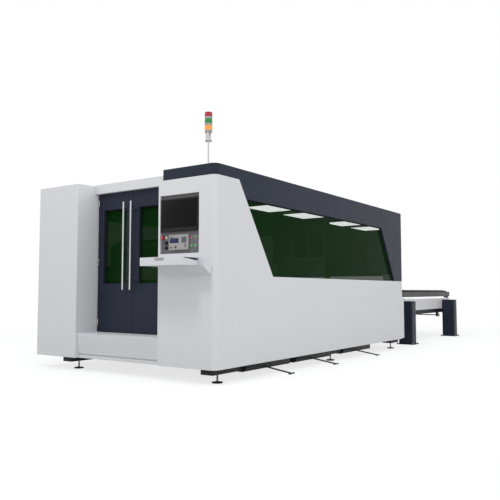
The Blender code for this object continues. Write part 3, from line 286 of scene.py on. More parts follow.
class Effects:
    """Shader node groups that several finishes share, each built once."""

    @staticmethod
    def group(name: str, inputs: dict[str, float], *outputs: str) -> bpy.types.NodeTree:
        """A new group with its sockets and nothing between them.

        Args:
            name: The group's name.
            inputs: Each input's name and default.
            outputs: The names of the outputs.

        Returns:
            The group's node tree.
        """
        tree = bpy.data.node_groups.new(name, "ShaderNodeTree")
        for label, value in inputs.items():
            made = tree.interface.new_socket(
                name=label, in_out="INPUT", socket_type="NodeSocketFloat"
            )
            made.default_value = value
        for label in outputs:
            tree.interface.new_socket(name=label, in_out="OUTPUT", socket_type="NodeSocketFloat")
        tree.nodes.new("NodeGroupInput").name = "in"
        tree.nodes.new("NodeGroupOutput").name = "out"
        return tree

    @staticmethod
    def feed(tree: bpy.types.NodeTree, slot: bpy.types.NodeSocket, value: object) -> None:
        """Links a socket into an input, or sets the input to a value."""
        if isinstance(value, bpy.types.NodeSocket):
            tree.links.new(value, slot)
        else:
            slot.default_value = value

    @staticmethod
    def math(tree: bpy.types.NodeTree, operation: str, *values: object) -> bpy.types.NodeSocket:
        """A Math node.

        Args:
            tree: The tree it goes into.
            operation: The node's operation.
            values: Its inputs in order, numbers or sockets.

        Returns:
            Its output.
        """
        node = tree.nodes.new("ShaderNodeMath")
        node.operation = operation
        for slot, value in zip(node.inputs, values):
            Effects.feed(tree, slot, value)
        return node.outputs[0]

    @staticmethod
    def swing(tree: bpy.types.NodeTree, value: object, amount: float) -> bpy.types.NodeSocket:
        """A 0 to 1 value turned into one about 0, times an amount."""
        about_none = Effects.math(tree, "SUBTRACT", value, 0.5)
        return Effects.math(tree, "MULTIPLY", about_none, amount)

    @staticmethod
    def noise(
        tree: bpy.types.NodeTree, scale: object, detail: float, stretch: Point = (1.0, 1.0, 1.0)
    ) -> bpy.types.NodeSocket:
        """Noise over Object coordinates.

        Args:
            tree: The tree it goes into.
            scale: A number or a socket.
            detail: The noise's detail.
            stretch: How much each axis is scaled first.

        Returns:
            The noise's value, 0 to 1.
        """
        place = tree.nodes.new("ShaderNodeTexCoord")
        mapping = tree.nodes.new("ShaderNodeMapping")
        mapping.inputs["Scale"].default_value = stretch
        tree.links.new(place.outputs["Object"], mapping.inputs["Vector"])
        texture = tree.nodes.new("ShaderNodeTexNoise")
        texture.inputs["Detail"].default_value = detail
        Effects.feed(tree, texture.inputs["Scale"], scale)
        tree.links.new(mapping.outputs[0], texture.inputs["Vector"])
        return texture.outputs[0]

    @staticmethod
    def coordinate(tree: bpy.types.NodeTree, axis: Axis) -> bpy.types.NodeSocket:
        """One Object coordinate of the point being shaded."""
        place = tree.nodes.new("ShaderNodeTexCoord")
        split = tree.nodes.new("ShaderNodeSeparateXYZ")
        tree.links.new(place.outputs["Object"], split.inputs[0])
        return split.outputs[axis.value]

    @cached_property
    def clouding(self) -> bpy.types.NodeTree:
        """Slow patches: a factor about 1 for colour, and one for roughness."""
        slow_detail, slow_share = 4.0, 0.65
        quick_detail, quick_share, quicker = 3.0, 0.35, 9.0
        shade_swing, gloss_swing = 4.0, 0.30
        tree = self.group("clouding", {"Size": 1.5, "Amount": 0.05}, "Shade", "Gloss")
        given, out = tree.nodes["in"], tree.nodes["out"]
        size = given.outputs["Size"]
        slow = self.noise(tree, size, slow_detail)
        quick = self.noise(tree, self.math(tree, "MULTIPLY", size, quicker), quick_detail)
        slow_part = self.math(tree, "MULTIPLY", slow, slow_share)
        quick_part = self.math(tree, "MULTIPLY", quick, quick_share)
        patches = self.swing(tree, self.math(tree, "ADD", slow_part, quick_part), shade_swing)
        shade = self.math(tree, "MULTIPLY_ADD", patches, given.outputs["Amount"], 1.0)
        tree.links.new(shade, out.inputs["Shade"])
        tree.links.new(self.swing(tree, quick, gloss_swing), out.inputs["Gloss"])
        return tree

    @cached_property
    def powder(self) -> bpy.types.NodeTree:
        """The fine orange peel of a powder coat, as a height."""
        peel_detail = 2.0
        tree = self.group("powder_peel", {"Grain": 400.0}, "Height")
        peel = self.noise(tree, tree.nodes["in"].outputs["Grain"], peel_detail)
        tree.links.new(peel, tree.nodes["out"].inputs["Height"])
        return tree

    @cached_property
    def brushing(self) -> bpy.types.NodeTree:
        """Fine drawn lines along Z, as a height and a gloss change."""
        line_detail, drawn_out, gloss_swing = 2.0, (1.0, 1.0, 0.02), 0.35
        tree = self.group("brushing", {"Grain": 900.0}, "Height", "Gloss")
        lines = self.noise(tree, tree.nodes["in"].outputs["Grain"], line_detail, drawn_out)
        tree.links.new(lines, tree.nodes["out"].inputs["Height"])
        gloss = self.swing(tree, lines, gloss_swing)
        tree.links.new(gloss, tree.nodes["out"].inputs["Gloss"])
        return tree

    @cached_property
    def spatter(self) -> bpy.types.NodeTree:
        """Small beads and burn marks, as a height and a mask."""
        bead_detail, mark_scale, mark_detail, mark_range = 5.0, 14.0, 6.0, (0.48, 0.66)
        tree = self.group("spatter", {"Grain": 160.0}, "Height", "Mask")
        given, out = tree.nodes["in"], tree.nodes["out"]
        beads = self.noise(tree, given.outputs["Grain"], bead_detail)
        marks = self.noise(tree, mark_scale, mark_detail)
        step = tree.nodes.new("ShaderNodeMapRange")
        step.inputs["From Min"].default_value, step.inputs["From Max"].default_value = mark_range
        tree.links.new(marks, step.inputs["Value"])
        tree.links.new(beads, out.inputs["Height"])
        tree.links.new(step.outputs[0], out.inputs["Mask"])
        return tree

    @cached_property
    def dust(self) -> bpy.types.NodeTree:
        """Floor dust: a mask that is strongest low on the machine."""
        cloud_scale, cloud_detail = 6.0, 5.0
        tree = self.group("floor_dust", {"Amount": 0.2, "Reach": 0.5}, "Mask")
        given, out = tree.nodes["in"], tree.nodes["out"]
        low = tree.nodes.new("ShaderNodeMapRange")
        low.inputs["From Max"].default_value = 0.0
        low.inputs["To Min"].default_value = 0.0
        low.inputs["To Max"].default_value = 1.0
        tree.links.new(self.coordinate(tree, Axis.Z), low.inputs["Value"])
        tree.links.new(given.outputs["Reach"], low.inputs["From Min"])
        cloud = self.noise(tree, cloud_scale, cloud_detail)
        both = self.math(tree, "MULTIPLY", low.outputs[0], cloud)
        mask = self.math(tree, "MULTIPLY", both, given.outputs["Amount"])
        tree.links.new(mask, out.inputs["Mask"])
        return tree

    @cached_property
    def diffuser(self) -> bpy.types.NodeTree:
        """The lit underside of a lamp panel, darker along its cells' edges, as a mask."""
        edge_dimming = -0.35
        tree = self.group("lit_cells", {"Level": 2.003, "Pitch": 0.1, "Edge": 0.46}, "Mask")
        given, out = tree.nodes["in"], tree.nodes["out"]
        height = self.coordinate(tree, Axis.Z)
        under = self.math(tree, "LESS_THAN", height, given.outputs["Level"])
        edges = []
        for axis in (Axis.X, Axis.Y):
            place = self.coordinate(tree, axis)
            cells = self.math(tree, "DIVIDE", place, given.outputs["Pitch"])
            across = self.math(tree, "SUBTRACT", self.math(tree, "FRACT", cells), 0.5)
            off_middle = self.math(tree, "ABSOLUTE", across)
            edges.append(self.math(tree, "GREATER_THAN", off_middle, given.outputs["Edge"]))
        dim = self.math(tree, "MAXIMUM", *edges)
        lit = self.math(tree, "MULTIPLY_ADD", dim, edge_dimming, 1.0)
        tree.links.new(self.math(tree, "MULTIPLY", under, lit), out.inputs["Mask"])
        return tree


@dataclass
class PaintShop:
    """Turns finishes into procedural materials and puts them on pieces."""

    effects: Effects = field(default_factory=Effects)
    made: dict[str, bpy.types.Material] = field(default_factory=dict)
    patch_size: float = 1.6
    brush_grain: float = 900.0
    bead_grain: float = 160.0
    burn_shade: float = 0.45
    lamp_level: float = 2.003
    lamp_cell: float = 0.095
    lamp_edge: float = 0.46
    lamp_tint: Point = (0.96, 1.0, 0.98)
    dust_reach: float = 0.55
    dust_colour: Point = (0.28, 0.26, 0.24)

    def place(
        self, tree: bpy.types.NodeTree, group: bpy.types.NodeTree, **values: float
    ) -> bpy.types.Node:
        """Puts an effect group into a material with its own values."""
        node = tree.nodes.new("ShaderNodeGroup")
        node.node_tree = group
        for label, value in values.items():
            node.inputs[label].default_value = value
        return node

    def shade(
        self, tree: bpy.types.NodeTree, colour: Point, factor: bpy.types.NodeSocket
    ) -> bpy.types.NodeSocket:
        """A colour multiplied by a factor."""
        node = tree.nodes.new("ShaderNodeVectorMath")
        node.operation = "SCALE"
        node.inputs[0].default_value = colour
        tree.links.new(factor, node.inputs["Scale"])
        return node.outputs[0]

    def blend(
        self,
        tree: bpy.types.NodeTree,
        under: bpy.types.NodeSocket,
        over: Point,
        mask: bpy.types.NodeSocket,
    ) -> bpy.types.NodeSocket:
        """A colour laid over another where a mask is set."""
        first_colour, second_colour, mixed_colour = 6, 7, 2
        node = tree.nodes.new("ShaderNodeMix")
        node.data_type = "RGBA"
        tree.links.new(mask, node.inputs["Factor"])
        tree.links.new(under, node.inputs[first_colour])
        node.inputs[second_colour].default_value = (*over, 1.0)
        return node.outputs[mixed_colour]

    def material(self, finish: Finish) -> bpy.types.Material:
        """The material of a finish, made once.

        Args:
            finish: The finish to make.

        Returns:
            The Blender material.
        """
        if finish.name in self.made:
            return self.made[finish.name]
        made = bpy.data.materials.new("m_" + finish.name)
        made.use_nodes = True
        shader = made.node_tree.nodes["Principled BSDF"]
        shader.inputs["Base Color"].default_value = (*finish.colour, 1.0)
        shader.inputs["Roughness"].default_value = finish.roughness
        shader.inputs["Metallic"].default_value = finish.metallic
        shader.inputs["Coat Weight"].default_value = finish.coat
        shader.inputs["Alpha"].default_value = finish.cover
        shader.inputs["Specular IOR Level"].default_value = finish.specular
        if finish.glow:
            shader.inputs["Emission Color"].default_value = (*finish.colour, 1.0)
            shader.inputs["Emission Strength"].default_value = finish.glow
        self.texture(made.node_tree, shader, finish)
        self.made[finish.name] = made
        return made

    def texture(
        self, tree: bpy.types.NodeTree, shader: bpy.types.Node, finish: Finish
    ) -> None:
        """Gives a material its patches, dust and grain.

        Args:
            tree: The material's nodes.
            shader: Its Principled shader.
            finish: The finish that says how much of each it has.
        """
        effects = self.effects
        cloud = self.place(
            tree, effects.clouding, Size=self.patch_size, Amount=finish.unevenness
        )
        colour = self.shade(tree, finish.colour, cloud.outputs["Shade"])
        gloss, height = cloud.outputs["Gloss"], None
        if finish.ground is Ground.POWDER:
            height = self.place(tree, effects.powder, Grain=finish.grain).outputs["Height"]
        if finish.ground is Ground.BRUSHED:
            lines = self.place(tree, effects.brushing, Grain=self.brush_grain)
            height, gloss = lines.outputs["Height"], lines.outputs["Gloss"]
        if finish.ground is Ground.SPATTERED:
            beads = self.place(tree, effects.spatter, Grain=self.bead_grain)
            height = beads.outputs["Height"]
            burnt = tuple(part * self.burn_shade for part in finish.colour)
            colour = self.blend(tree, colour, burnt, beads.outputs["Mask"])
        if finish.ground is Ground.DIFFUSER:
            lit = self.place(
                tree,
                effects.diffuser,
                Level=self.lamp_level,
                Pitch=self.lamp_cell,
                Edge=self.lamp_edge,
            )
            light = self.shade(tree, self.lamp_tint, lit.outputs["Mask"])
            tree.links.new(light, shader.inputs["Emission Color"])
        if finish.dust:
            dust = self.place(tree, effects.dust, Amount=finish.dust, Reach=self.dust_reach)
            colour = self.blend(tree, colour, self.dust_colour, dust.outputs["Mask"])
        tree.links.new(colour, shader.inputs["Base Color"])
        rough = effects.math(tree, "ADD", gloss, finish.roughness)
        tree.links.new(rough, shader.inputs["Roughness"])
        if height is not None and finish.depth:
            bump = tree.nodes.new("ShaderNodeBump")
            bump.inputs["Strength"].default_value = 1.0
            bump.inputs["Distance"].default_value = finish.depth
            tree.links.new(height, bump.inputs["Height"])
            tree.links.new(bump.outputs[0], shader.inputs["Normal"])

    def dress(self, piece: bpy.types.Object, finish: Finish) -> None:
        """Gives a piece or a CAD node one finish."""
        material = self.material(finish)
        if not piece.material_slots:
            piece.data.materials.append(material)
        for slot in piece.material_slots:
            slot.material = material


@dataclass
class Bench:
    """Adds shapes with Blender's own operators and turns them into finished pieces."""

    edge_segments: int = 2
    smooth_angle: float = math.radians(35)
    cut_angle: float = math.radians(40)
    ease_angle: float = math.radians(40)
    sharp_angle: float = math.radians(30)
    weld_reach: float = 0.00002
    double_reach: float = 0.00001
    on_axis: float = 1e-7

    def clear(self) -> None:
        """Leaves nothing selected, in object mode."""
        if bpy.context.mode != "OBJECT":
            bpy.ops.object.mode_set(mode="OBJECT")
        bpy.ops.object.select_all(action="DESELECT")

    def take(self, *shapes: bpy.types.Object) -> None:
        """Selects only these shapes, the first of them active."""
        self.clear()
        for shape in shapes:
            shape.select_set(True)
        bpy.context.view_layer.objects.active = shapes[0]

    def named(self, shape: bpy.types.Object, name: str) -> bpy.types.Object:
        """Names a shape and its mesh."""
        shape.name = name
        shape.data.name = name
        return shape

    def settle(self, shape: bpy.types.Object, name: str) -> bpy.types.Object:
        """Applies a shape's place, turn and size, and names it."""
        self.take(shape)
        bpy.ops.object.transform_apply(location=True, rotation=True, scale=True)
        return self.named(shape, name)

    def soften(
        self, shape: bpy.types.Object, edge: float, choose: Callable[[bmesh.types.BMEdge], bool]
    ) -> None:
        """Bevels the chosen edges and shades the shape smooth by angle.

        Args:
            shape: The shape, already settled.
            edge: The bevel's width.
            choose: Says which edges are bevelled.
        """
        self.take(shape)
        bpy.ops.object.mode_set(mode="EDIT")
        bpy.ops.mesh.select_mode(type="EDGE")
        bpy.ops.mesh.select_all(action="DESELECT")
        mesh = bmesh.from_edit_mesh(shape.data)
        for line in mesh.edges:
            line.select_set(choose(line))
        bmesh.update_edit_mesh(shape.data)
        if edge:
            bpy.ops.mesh.bevel(offset=edge, segments=self.edge_segments, affect="EDGES")
        bpy.ops.object.mode_set(mode="OBJECT")
        bpy.ops.object.shade_smooth_by_angle(angle=self.smooth_angle)

    def ease(self, node: bpy.types.Object, edge: float) -> None:
        """Rounds a CAD node's edges with live modifiers and leaves its mesh as it is."""
        node.data.polygons.foreach_set("use_smooth", [True] * len(node.data.polygons))
        weld = node.modifiers.new("weld", "WELD")
        weld.merge_threshold = self.weld_reach
        if edge:
            bevel = node.modifiers.new("edges", "BEVEL")
            bevel.width = edge
            bevel.segments = self.edge_segments
            bevel.limit_method = "ANGLE"
            bevel.angle_limit = self.ease_angle
        normals = node.modifiers.new("normals", "WEIGHTED_NORMAL")
        normals.keep_sharp = False

    def slab(
        self, name: str, low: Point, high: Point, edge: float = BLOCK_EDGE
    ) -> bpy.types.Object:
        """A block between two corners with its edges rounded."""
        self.clear()
        centre = [(a + b) / 2 for a, b in zip(low, high)]
        bpy.ops.mesh.primitive_cube_add(size=1.0, location=centre)
        shape = bpy.context.object
        shape.scale = [abs(b - a) for a, b in zip(low, high)]
        self.settle(shape, name)
        self.soften(shape, edge, lambda line: True)
        return shape

    def drum(
        self,
        name: str,
        start: Point,
        end: Point,
        radius: float,
        edge: float = FINE_EDGE,
        sides: int = 24,
    ) -> bpy.types.Object:
        """A round bar between two points with its rims rounded."""
        self.clear()
        along = Vector(end) - Vector(start)
        bpy.ops.mesh.primitive_cylinder_add(
            vertices=sides,
            radius=radius,
            depth=along.length,
            location=(Vector(start) + Vector(end)) / 2,
            rotation=along.to_track_quat("Z", "Y").to_euler(),
        )
        shape = self.settle(bpy.context.object, name)
        self.soften(shape, edge, self.on_disc)
        return shape

    @staticmethod
    def on_disc(line: bmesh.types.BMEdge) -> bool:
        """Whether an edge lies on the rim of an end disc."""
        wall_corners = 4
        return any(len(face.verts) > wall_corners for face in line.link_faces)

    def upright(
        self,
        name: str,
        centre: Pair,
        span: Pair,
        radius: float,
        edge: float = FINE_EDGE,
        sides: int = 24,
    ) -> bpy.types.Object:
        """A round bar that stands between two levels."""
        return self.drum(name, (*centre, span[0]), (*centre, span[1]), radius, edge, sides)

    def turned(
        self, name: str, profile: Sequence[Pair], foot: Point, axis: Point, sides: int = 32
    ) -> bpy.types.Object:
        """A turned shape: (radius, height) pairs spun about an axis through its foot.

        Args:
            name: The piece's name.
            profile: The outline from the foot up, closed on the axis by its end discs.
            foot: Where the axis starts.
            axis: The axis, from the foot.
            sides: How many steps the spin takes.

        Returns:
            The closed shape.
        """
        self.clear()
        bpy.ops.mesh.primitive_circle_add(vertices=len(profile) + 2, fill_type="NGON")
        shape = bpy.context.object
        rim = [(0.0, profile[0][1]), *profile, (0.0, profile[-1][1])]
        for vertex, (radius, height) in zip(shape.data.vertices, rim):
            vertex.co = (radius, 0.0, height)
        bpy.ops.object.mode_set(mode="EDIT")
        bpy.ops.mesh.select_all(action="SELECT")
        bpy.ops.mesh.delete(type="ONLY_FACE")
        bpy.ops.mesh.select_all(action="SELECT")
        bpy.ops.mesh.spin(steps=sides, angle=2 * math.pi, center=(0, 0, 0), axis=(0, 0, 1))
        bpy.ops.mesh.select_all(action="SELECT")
        bpy.ops.mesh.remove_doubles(threshold=self.double_reach)
        mesh = bmesh.from_edit_mesh(shape.data)
        inner = [line for line in mesh.edges if all(self.centred(v.co) for v in line.verts)]
        bmesh.ops.delete(mesh, geom=inner, context="EDGES")
        bmesh.update_edit_mesh(shape.data)
        bpy.ops.mesh.select_all(action="SELECT")
        bpy.ops.mesh.normals_make_consistent(inside=False)
        bpy.ops.object.mode_set(mode="OBJECT")
        shape.rotation_euler = Vector(UP).rotation_difference(Vector(axis)).to_euler()
        shape.location = foot
        self.settle(shape, name)
        bpy.ops.object.shade_smooth_by_angle(angle=self.smooth_angle)
        return shape

    def centred(self, point: Vector) -> bool:
        """Whether a point lies on the spin's axis."""
        return abs(point.x) < self.on_axis and abs(point.y) < self.on_axis

    def drawn(
        self,
        name: str,
        outline: Sequence[Pair],
        axis: Axis,
        span: Pair,
        edge: float = 0.0,
        rim: float = 0.0,
    ) -> bpy.types.Object:
        """An outline drawn out along an axis, whole or as a rim of some width.

        Args:
            name: The piece's name.
            outline: Points in the two other axes, in their order.
            axis: The axis it is drawn out along.
            span: Where it starts and ends on that axis.
            edge: The width of its rounded edges.
            rim: The rim's width, or 0 for a whole plate.

        Returns:
            The closed shape.
        """
        self.clear()
        bpy.ops.mesh.primitive_circle_add(vertices=len(outline), fill_type="NGON")
        shape = bpy.context.object
        across = [n for n in range(3) if n != axis.value]
        for vertex, point in zip(shape.data.vertices, outline):
            place = [0.0, 0.0, 0.0]
            place[across[0]], place[across[1]] = point
            place[axis.value] = min(span)
            vertex.co = place
        shift = [0.0, 0.0, 0.0]
        shift[axis.value] = max(span) - min(span)
        bpy.ops.object.mode_set(mode="EDIT")
        bpy.ops.mesh.select_mode(type="FACE")
        bpy.ops.mesh.select_all(action="SELECT")
        if rim:
            bpy.ops.mesh.inset(thickness=rim, depth=0.0, use_even_offset=True)
            bpy.ops.mesh.delete(type="FACE")
            bpy.ops.mesh.select_all(action="SELECT")
        bpy.ops.mesh.extrude_region_move(TRANSFORM_OT_translate={"value": shift})
        bpy.ops.mesh.select_all(action="SELECT")
        bpy.ops.mesh.normals_make_consistent(inside=False)
        bpy.ops.object.mode_set(mode="OBJECT")
        self.settle(shape, name)
        self.soften(shape, edge, self.is_sharp)
        return shape

    def is_sharp(self, line: bmesh.types.BMEdge) -> bool:
        """Whether two faces meet at an edge at more than a slight angle."""
        return line.is_manifold and line.calc_face_angle(0.0) > self.sharp_angle

    def modified(self, shape: bpy.types.Object, kind: str, **settings: object) -> None:
        """Adds a modifier with its settings and applies it."""
        self.take(shape)
        modifier = shape.modifiers.new(kind, kind)
        for label, value in settings.items():
            setattr(modifier, label, value)
        bpy.ops.object.modifier_apply(modifier=modifier.name)

    def arrayed(self, shape: bpy.types.Object, count: int, step: Point) -> None:
        """Repeats a shape within its own mesh."""
        self.modified(
            shape,
            "ARRAY",
            count=count,
            use_relative_offset=False,
            use_constant_offset=True,
            constant_offset_displace=step,
        )

    def perforate(
        self,
        sheet: bpy.types.Object,
        start: Pair,
        radius: float,
        pitch: Pair,
        rows: tuple[int, int],
    ) -> None:
        """Cuts staggered rows of round holes through an upright sheet.

        Args:
            sheet: The sheet, upright along X and Z at Y 0.
            start: The first hole's place.
            radius: The holes' radius.
            pitch: The step along a row, doubled for the stagger, and from row to row.
            rows: The holes in a row and the number of rows.
        """
        reach, pin_sides = 0.01, 10
        for odd in (0, 1):
            x, z = start[0] + odd * pitch[0], start[1] + odd * pitch[1]
            pin = self.drum("pin", (x, -reach, z), (x, reach, z), radius, 0.0, pin_sides)
            self.arrayed(pin, rows[0], (2 * pitch[0], 0.0, 0.0))
            self.arrayed(pin, (rows[1] + 1 - odd) // 2, (0.0, 0.0, 2 * pitch[1]))
            self.modified(sheet, "BOOLEAN", operation="DIFFERENCE", solver="EXACT", object=pin)
            bpy.data.objects.remove(pin)
        self.take(sheet)
        bpy.ops.object.shade_smooth_by_angle(angle=self.cut_angle)

    def copied(self, shape: bpy.types.Object, name: str, shift: Point) -> bpy.types.Object:
        """A copy with its own mesh, moved by shift."""
        made = shape.copy()
        made.data = shape.data.copy()
        bpy.context.scene.collection.objects.link(made)
        made.data.transform(Matrix.Translation(shift))
        return self.named(made, name)

    def joined(self, name: str, shapes: Iterable[bpy.types.Object]) -> bpy.types.Object:
        """Several shapes as one piece."""
        shapes = list(shapes)
        self.take(*shapes)
        if len(shapes) > 1:
            bpy.ops.object.join()
        return self.named(shapes[0], name)


@dataclass
class SubAssembly:
    """What each sub-assembly shares: the bench, the paint shop and the list of its pieces."""

    bench: Bench
    paint: PaintShop
    pieces: list[str] = field(default_factory=list)

    def keep(self, piece: bpy.types.Object, finish: Finish, body: str = "machine") -> None:
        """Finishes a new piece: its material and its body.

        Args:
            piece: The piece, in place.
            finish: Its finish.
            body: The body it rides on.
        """
        self.paint.dress(piece, finish)
        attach(piece, body)
        self.pieces.append(piece.name)

    def nodes(self, finish: Finish, *names: str, edge: Edge | None = None) -> None:
        """Gives CAD nodes a finish and, where an edge is given, smooth and rounded edges."""
        for name in names:
            self.paint.dress(bpy.data.objects[name], finish)
            if edge is not None:
                self.bench.ease(bpy.data.objects[name], edge.value)

    def blocks(
        self,
        name: str,
        finish: Finish,
        boxes: Iterable[Box],
        edge: float = FINE_EDGE,
        body: str = "machine",
    ) -> None:
        """Several blocks as one piece.

        Args:
            name: The piece's name.
            finish: Its finish.
            boxes: Each block's two corners.
            edge: The radius of the blocks' edges.
            body: The body it rides on.
        """
        shapes = [
            self.bench.slab(f"{name}_{n}", low, high, edge)
            for n, (low, high) in enumerate(boxes)
        ]
        self.keep(self.bench.joined(name, shapes), finish, body)

    def repeat(
        self,
        name: str,
        finish: Finish,
        first: bpy.types.Object,
        shifts: Iterable[Point],
        body: str = "machine",
    ) -> None:
        """One shape and its copies as one piece.

        Args:
            name: The piece's name.
            finish: Its finish.
            first: The shape, in its first place.
            shifts: How far each copy is moved from there.
            body: The body it rides on.
        """
        copies = [self.bench.copied(first, f"{name}_{n}", by) for n, by in enumerate(shifts)]
        self.keep(self.bench.joined(name, [first, *copies]), finish, body)

    def heads(
        self,
        name: str,
        finish: Finish,
        places: Sequence[Point],
        axis: Point,
        head: Head,
        body: str = "machine",
    ) -> None:
        """Screw heads standing on the given places.

        Args:
            name: The piece's name.
            finish: Its finish.
            places: Where the heads stand.
            axis: The way they stand up.
            head: Their size.
            body: The body they ride on.
        """
        rim_share = 0.06
        first = Vector(places[0])
        tip = first + Vector(axis) * head.height
        shape = self.bench.drum(
            name, first, tip, head.width / 2, head.width * rim_share, head.sides
        )
        self.repeat(name, finish, shape, [Vector(at) - first for at in places[1:]], body)


@dataclass
class Housing(SubAssembly):
    """The enclosure: panels, windows, lamps, roof, cabinet and rear wall.

    Places along the machine count from its front, levels from the floor.
    """

    thin_edge: float = 0.0008

    kick_foot: Point = (-0.800, -4.44065, 0.2115)
    kick_lean: float = math.atan(0.1)
    kick_size: Pair = (1.281, 0.236)
    kick_backing: Pair = (0.0002, 0.0006)
    # The black backing under the kick sheet is painted shade: it darkens the holes as shade would.
    kick_skin: Pair = (0.0008, 0.0018)
    hole_start: Pair = (0.0225, 0.028)
    hole_radius: float = 0.0032
    hole_pitch: Pair = (0.018, 0.0225)
    hole_rows: tuple[int, int] = (34, 9)

    glass_in: float = 0.040
    sill: float = 1.13
    lintel: float = 1.98
    window_ends: Pair = (1.10, 4.86)
    window_far_top: float = 4.34
    far_slant: float = 0.6
    rake_top: Pair = (0.42, 2.18)
    gasket_play: float = -0.0005
    gasket_depth: float = 0.004
    gasket_rim: float = 0.009
    rail_in: Pair = (0.052, 0.076)
    rail_ends: Pair = (1.0, 4.9)
    rail_levels: Pair = (1.10, 1.125)

    seams: Trio = (1.75, 3.05, 4.35)
    seam_half: Pair = (1.45, 0.03)
    seam_height: float = 0.0030
    seam_screw_level: float = ROOF_TOP + 0.0028
    seam_screw_reach: float = 1.40
    seam_screw_count: int = 9
    seam_screw: Head = Head(0.012, 0.003, 12)

    blade_fall: float = 1.1
    blade_thickness: float = 0.003
    bay_depth: float = 0.0115
    bay_ends: Pair = (0.0905, 0.3095)
    bay_feet: tuple[tuple[str, float], ...] = (("low", 0.2445), ("high", 1.8805))
    bay_height: float = 0.319
    mat: Pair = (0.0010, 0.0003)
    blade_set_back: float = 0.0015
    blade_lift: float = 0.004
    bay_blades: Row = (14, 0.0222)
    catch: tuple[Box, ...] = (
        ((0.0115, 0.002, 1.226), (0.006, 0.032, 1.388)),
        ((0.007, 0.008, 1.262), (0.001, 0.026, 1.380)),
    )
    catch_lock: Point = (0.007, 0.017, 1.243)
    catch_edge: float = 0.0015
    lock_head: Head = Head(0.018, 0.005, 20)

    access_ends: tuple[Pair, ...] = ((-1.52, -0.22), (-0.13, 1.17))
    access_levels: Pair = (1.36, 2.18)
    access_depth: float = 0.003
    access_screw_in: Pair = (0.025, 0.0028)
    access_screw_count: int = 6
    access_screw_levels: Pair = (1.64, 1.90)
    access_screw: Head = Head(0.016, 0.004)

    inner_face: float = REAR - 0.0403
    inner_depth: float = 0.003
    # A dark sheet on the rear wall's inner face: painted shade for the inside seen through the
    # windows.
    liner: Area = (-0.15, 1.19, 1.2505, 2.17)
    hatches: tuple[tuple[float, float, float, float, float], ...] = (
        (-0.818, -0.552, 1.60, 2.04, 0.0),
        (-0.487, -0.232, 1.60, 2.04, 0.0),
        (0.296, 0.666, 1.485, 1.85, 0.0032),
    )

    brush: Box = ((-1.30, REAR + SEAT, 1.226), (0.95, REAR + 0.005, 1.275))
    vent_ends: tuple[Pair, ...] = ((-1.20, -0.70), (0.35, 0.85))
    vent_levels: Pair = (0.22, 0.50)
    vent_depth: float = 0.002
    vent_margin: float = 0.02
    vent_wall: Pair = (REAR + 0.001, REAR + 0.014)
    vent_low: float = 0.235
    vent_blades: Row = (10, 0.024)
    spigot_profile: tuple[Pair, ...] = (
        (0.125, 0.0),
        (0.125, 0.006),
        (0.102, 0.006),
        (0.102, 0.085),
        (0.098, 0.088),
        (0.094, 0.085),
        (0.094, 0.010),
    )
    spigot_sides: int = 40
    spigot_half_gap: float = 0.24
    spigot_level: float = 0.36
    spigot_screws: Pair = (0.114, REAR + 0.006)
    spigot_screw_turns: range = range(30, 390, 60)
    spigot_screw: Head = Head(0.010, 0.004)

    def build(self) -> None:
        """Dresses the enclosure's nodes and adds its trim."""
        self.nodes(
            WHITE,
            "operator_pod",
            "left_cabinet",
            "door_frame",
            "right_side_panel",
            "left_side_panel",
            "rear_wall",
            edge=Edge.PANEL,
        )
        self.nodes(WHITE, "kick_plate", edge=Edge.SHEET)
        self.nodes(ROOF, "roof_hood", edge=Edge.PANEL)
        self.nodes(PANE, "right_window", "left_window")
        self.nodes(LAMP, "work_lamps")
        self.nodes(BLACK, "bed_frame", edge=Edge.PANEL)
        self.kick_sheet()
        self.gaskets()
        self.window_rails()
        self.roof_seams()
        self.cabinet_leaf()
        self.rear_panels()
        self.inner_panels()
        self.rear_fittings()

    def kick_sheet(self) -> None:
        """A perforated sheet on the leaning kick plate, over a black backing: painted shade in its
        holes.
        """
        length, height = self.kick_size
        layers = (
            # The backing is a black sheet standing for the shade seen through the holes.
            ("kick_backing", self.kick_backing, RUBBER),
            ("kick_sheet", self.kick_skin, WHITE),
        )
        for name, (near, far), finish in layers:
            sheet = self.bench.slab(name, (0.0, -far, 0.0), (length, -near, height), 0.0)
            if name == "kick_sheet":
                self.bench.perforate(
                    sheet, self.hole_start, self.hole_radius, self.hole_pitch, self.hole_rows
                )
            sheet.rotation_euler = (self.kick_lean, 0.0, 0.0)
            sheet.location = self.kick_foot
            self.keep(self.bench.settle(sheet, name), finish)

    def window_outline(self, grow: float) -> list[Pair]:
        """The window opening's outline in Y and Z, grown outwards."""
        near, far = self.window_ends
        rake, rake_level = self.rake_top
        slope = (near - rake) / (rake_level - self.sill)
        near_top = rake + (rake_level - self.lintel) * slope
        return [
            (FRONT + near - grow, self.sill - grow),
            (FRONT + far + grow, self.sill - grow),
            (FRONT + self.window_far_top + grow * self.far_slant, self.lintel + grow),
            (FRONT + near_top - grow, self.lintel + grow),
        ]

    def gaskets(self) -> None:
        """Black rubber gaskets round the windows, behind the panels' edge."""
        outline = self.window_outline(self.gasket_play)
        for side, word in SIDES:
            face = inward(side, self.glass_in)
            span = (face, face + side * self.gasket_depth)
            name = f"{word}_window_gasket"
            ring = self.bench.drawn(
                name, outline, Axis.X, span, self.thin_edge, self.gasket_rim
            )
            self.keep(ring, RUBBER)

    def window_rails(self) -> None:
        """A dark rail along the foot of each window's inner side."""
        (near, far), (foot, top) = self.rail_ends, self.rail_levels
        for side, word in SIDES:
            outer, inner = (inward(side, at) for at in self.rail_in)
            rail = ((outer, FRONT + near, foot), (inner, FRONT + far, top))
            self.blocks(f"{word}_window_rail", ROOF, [rail])

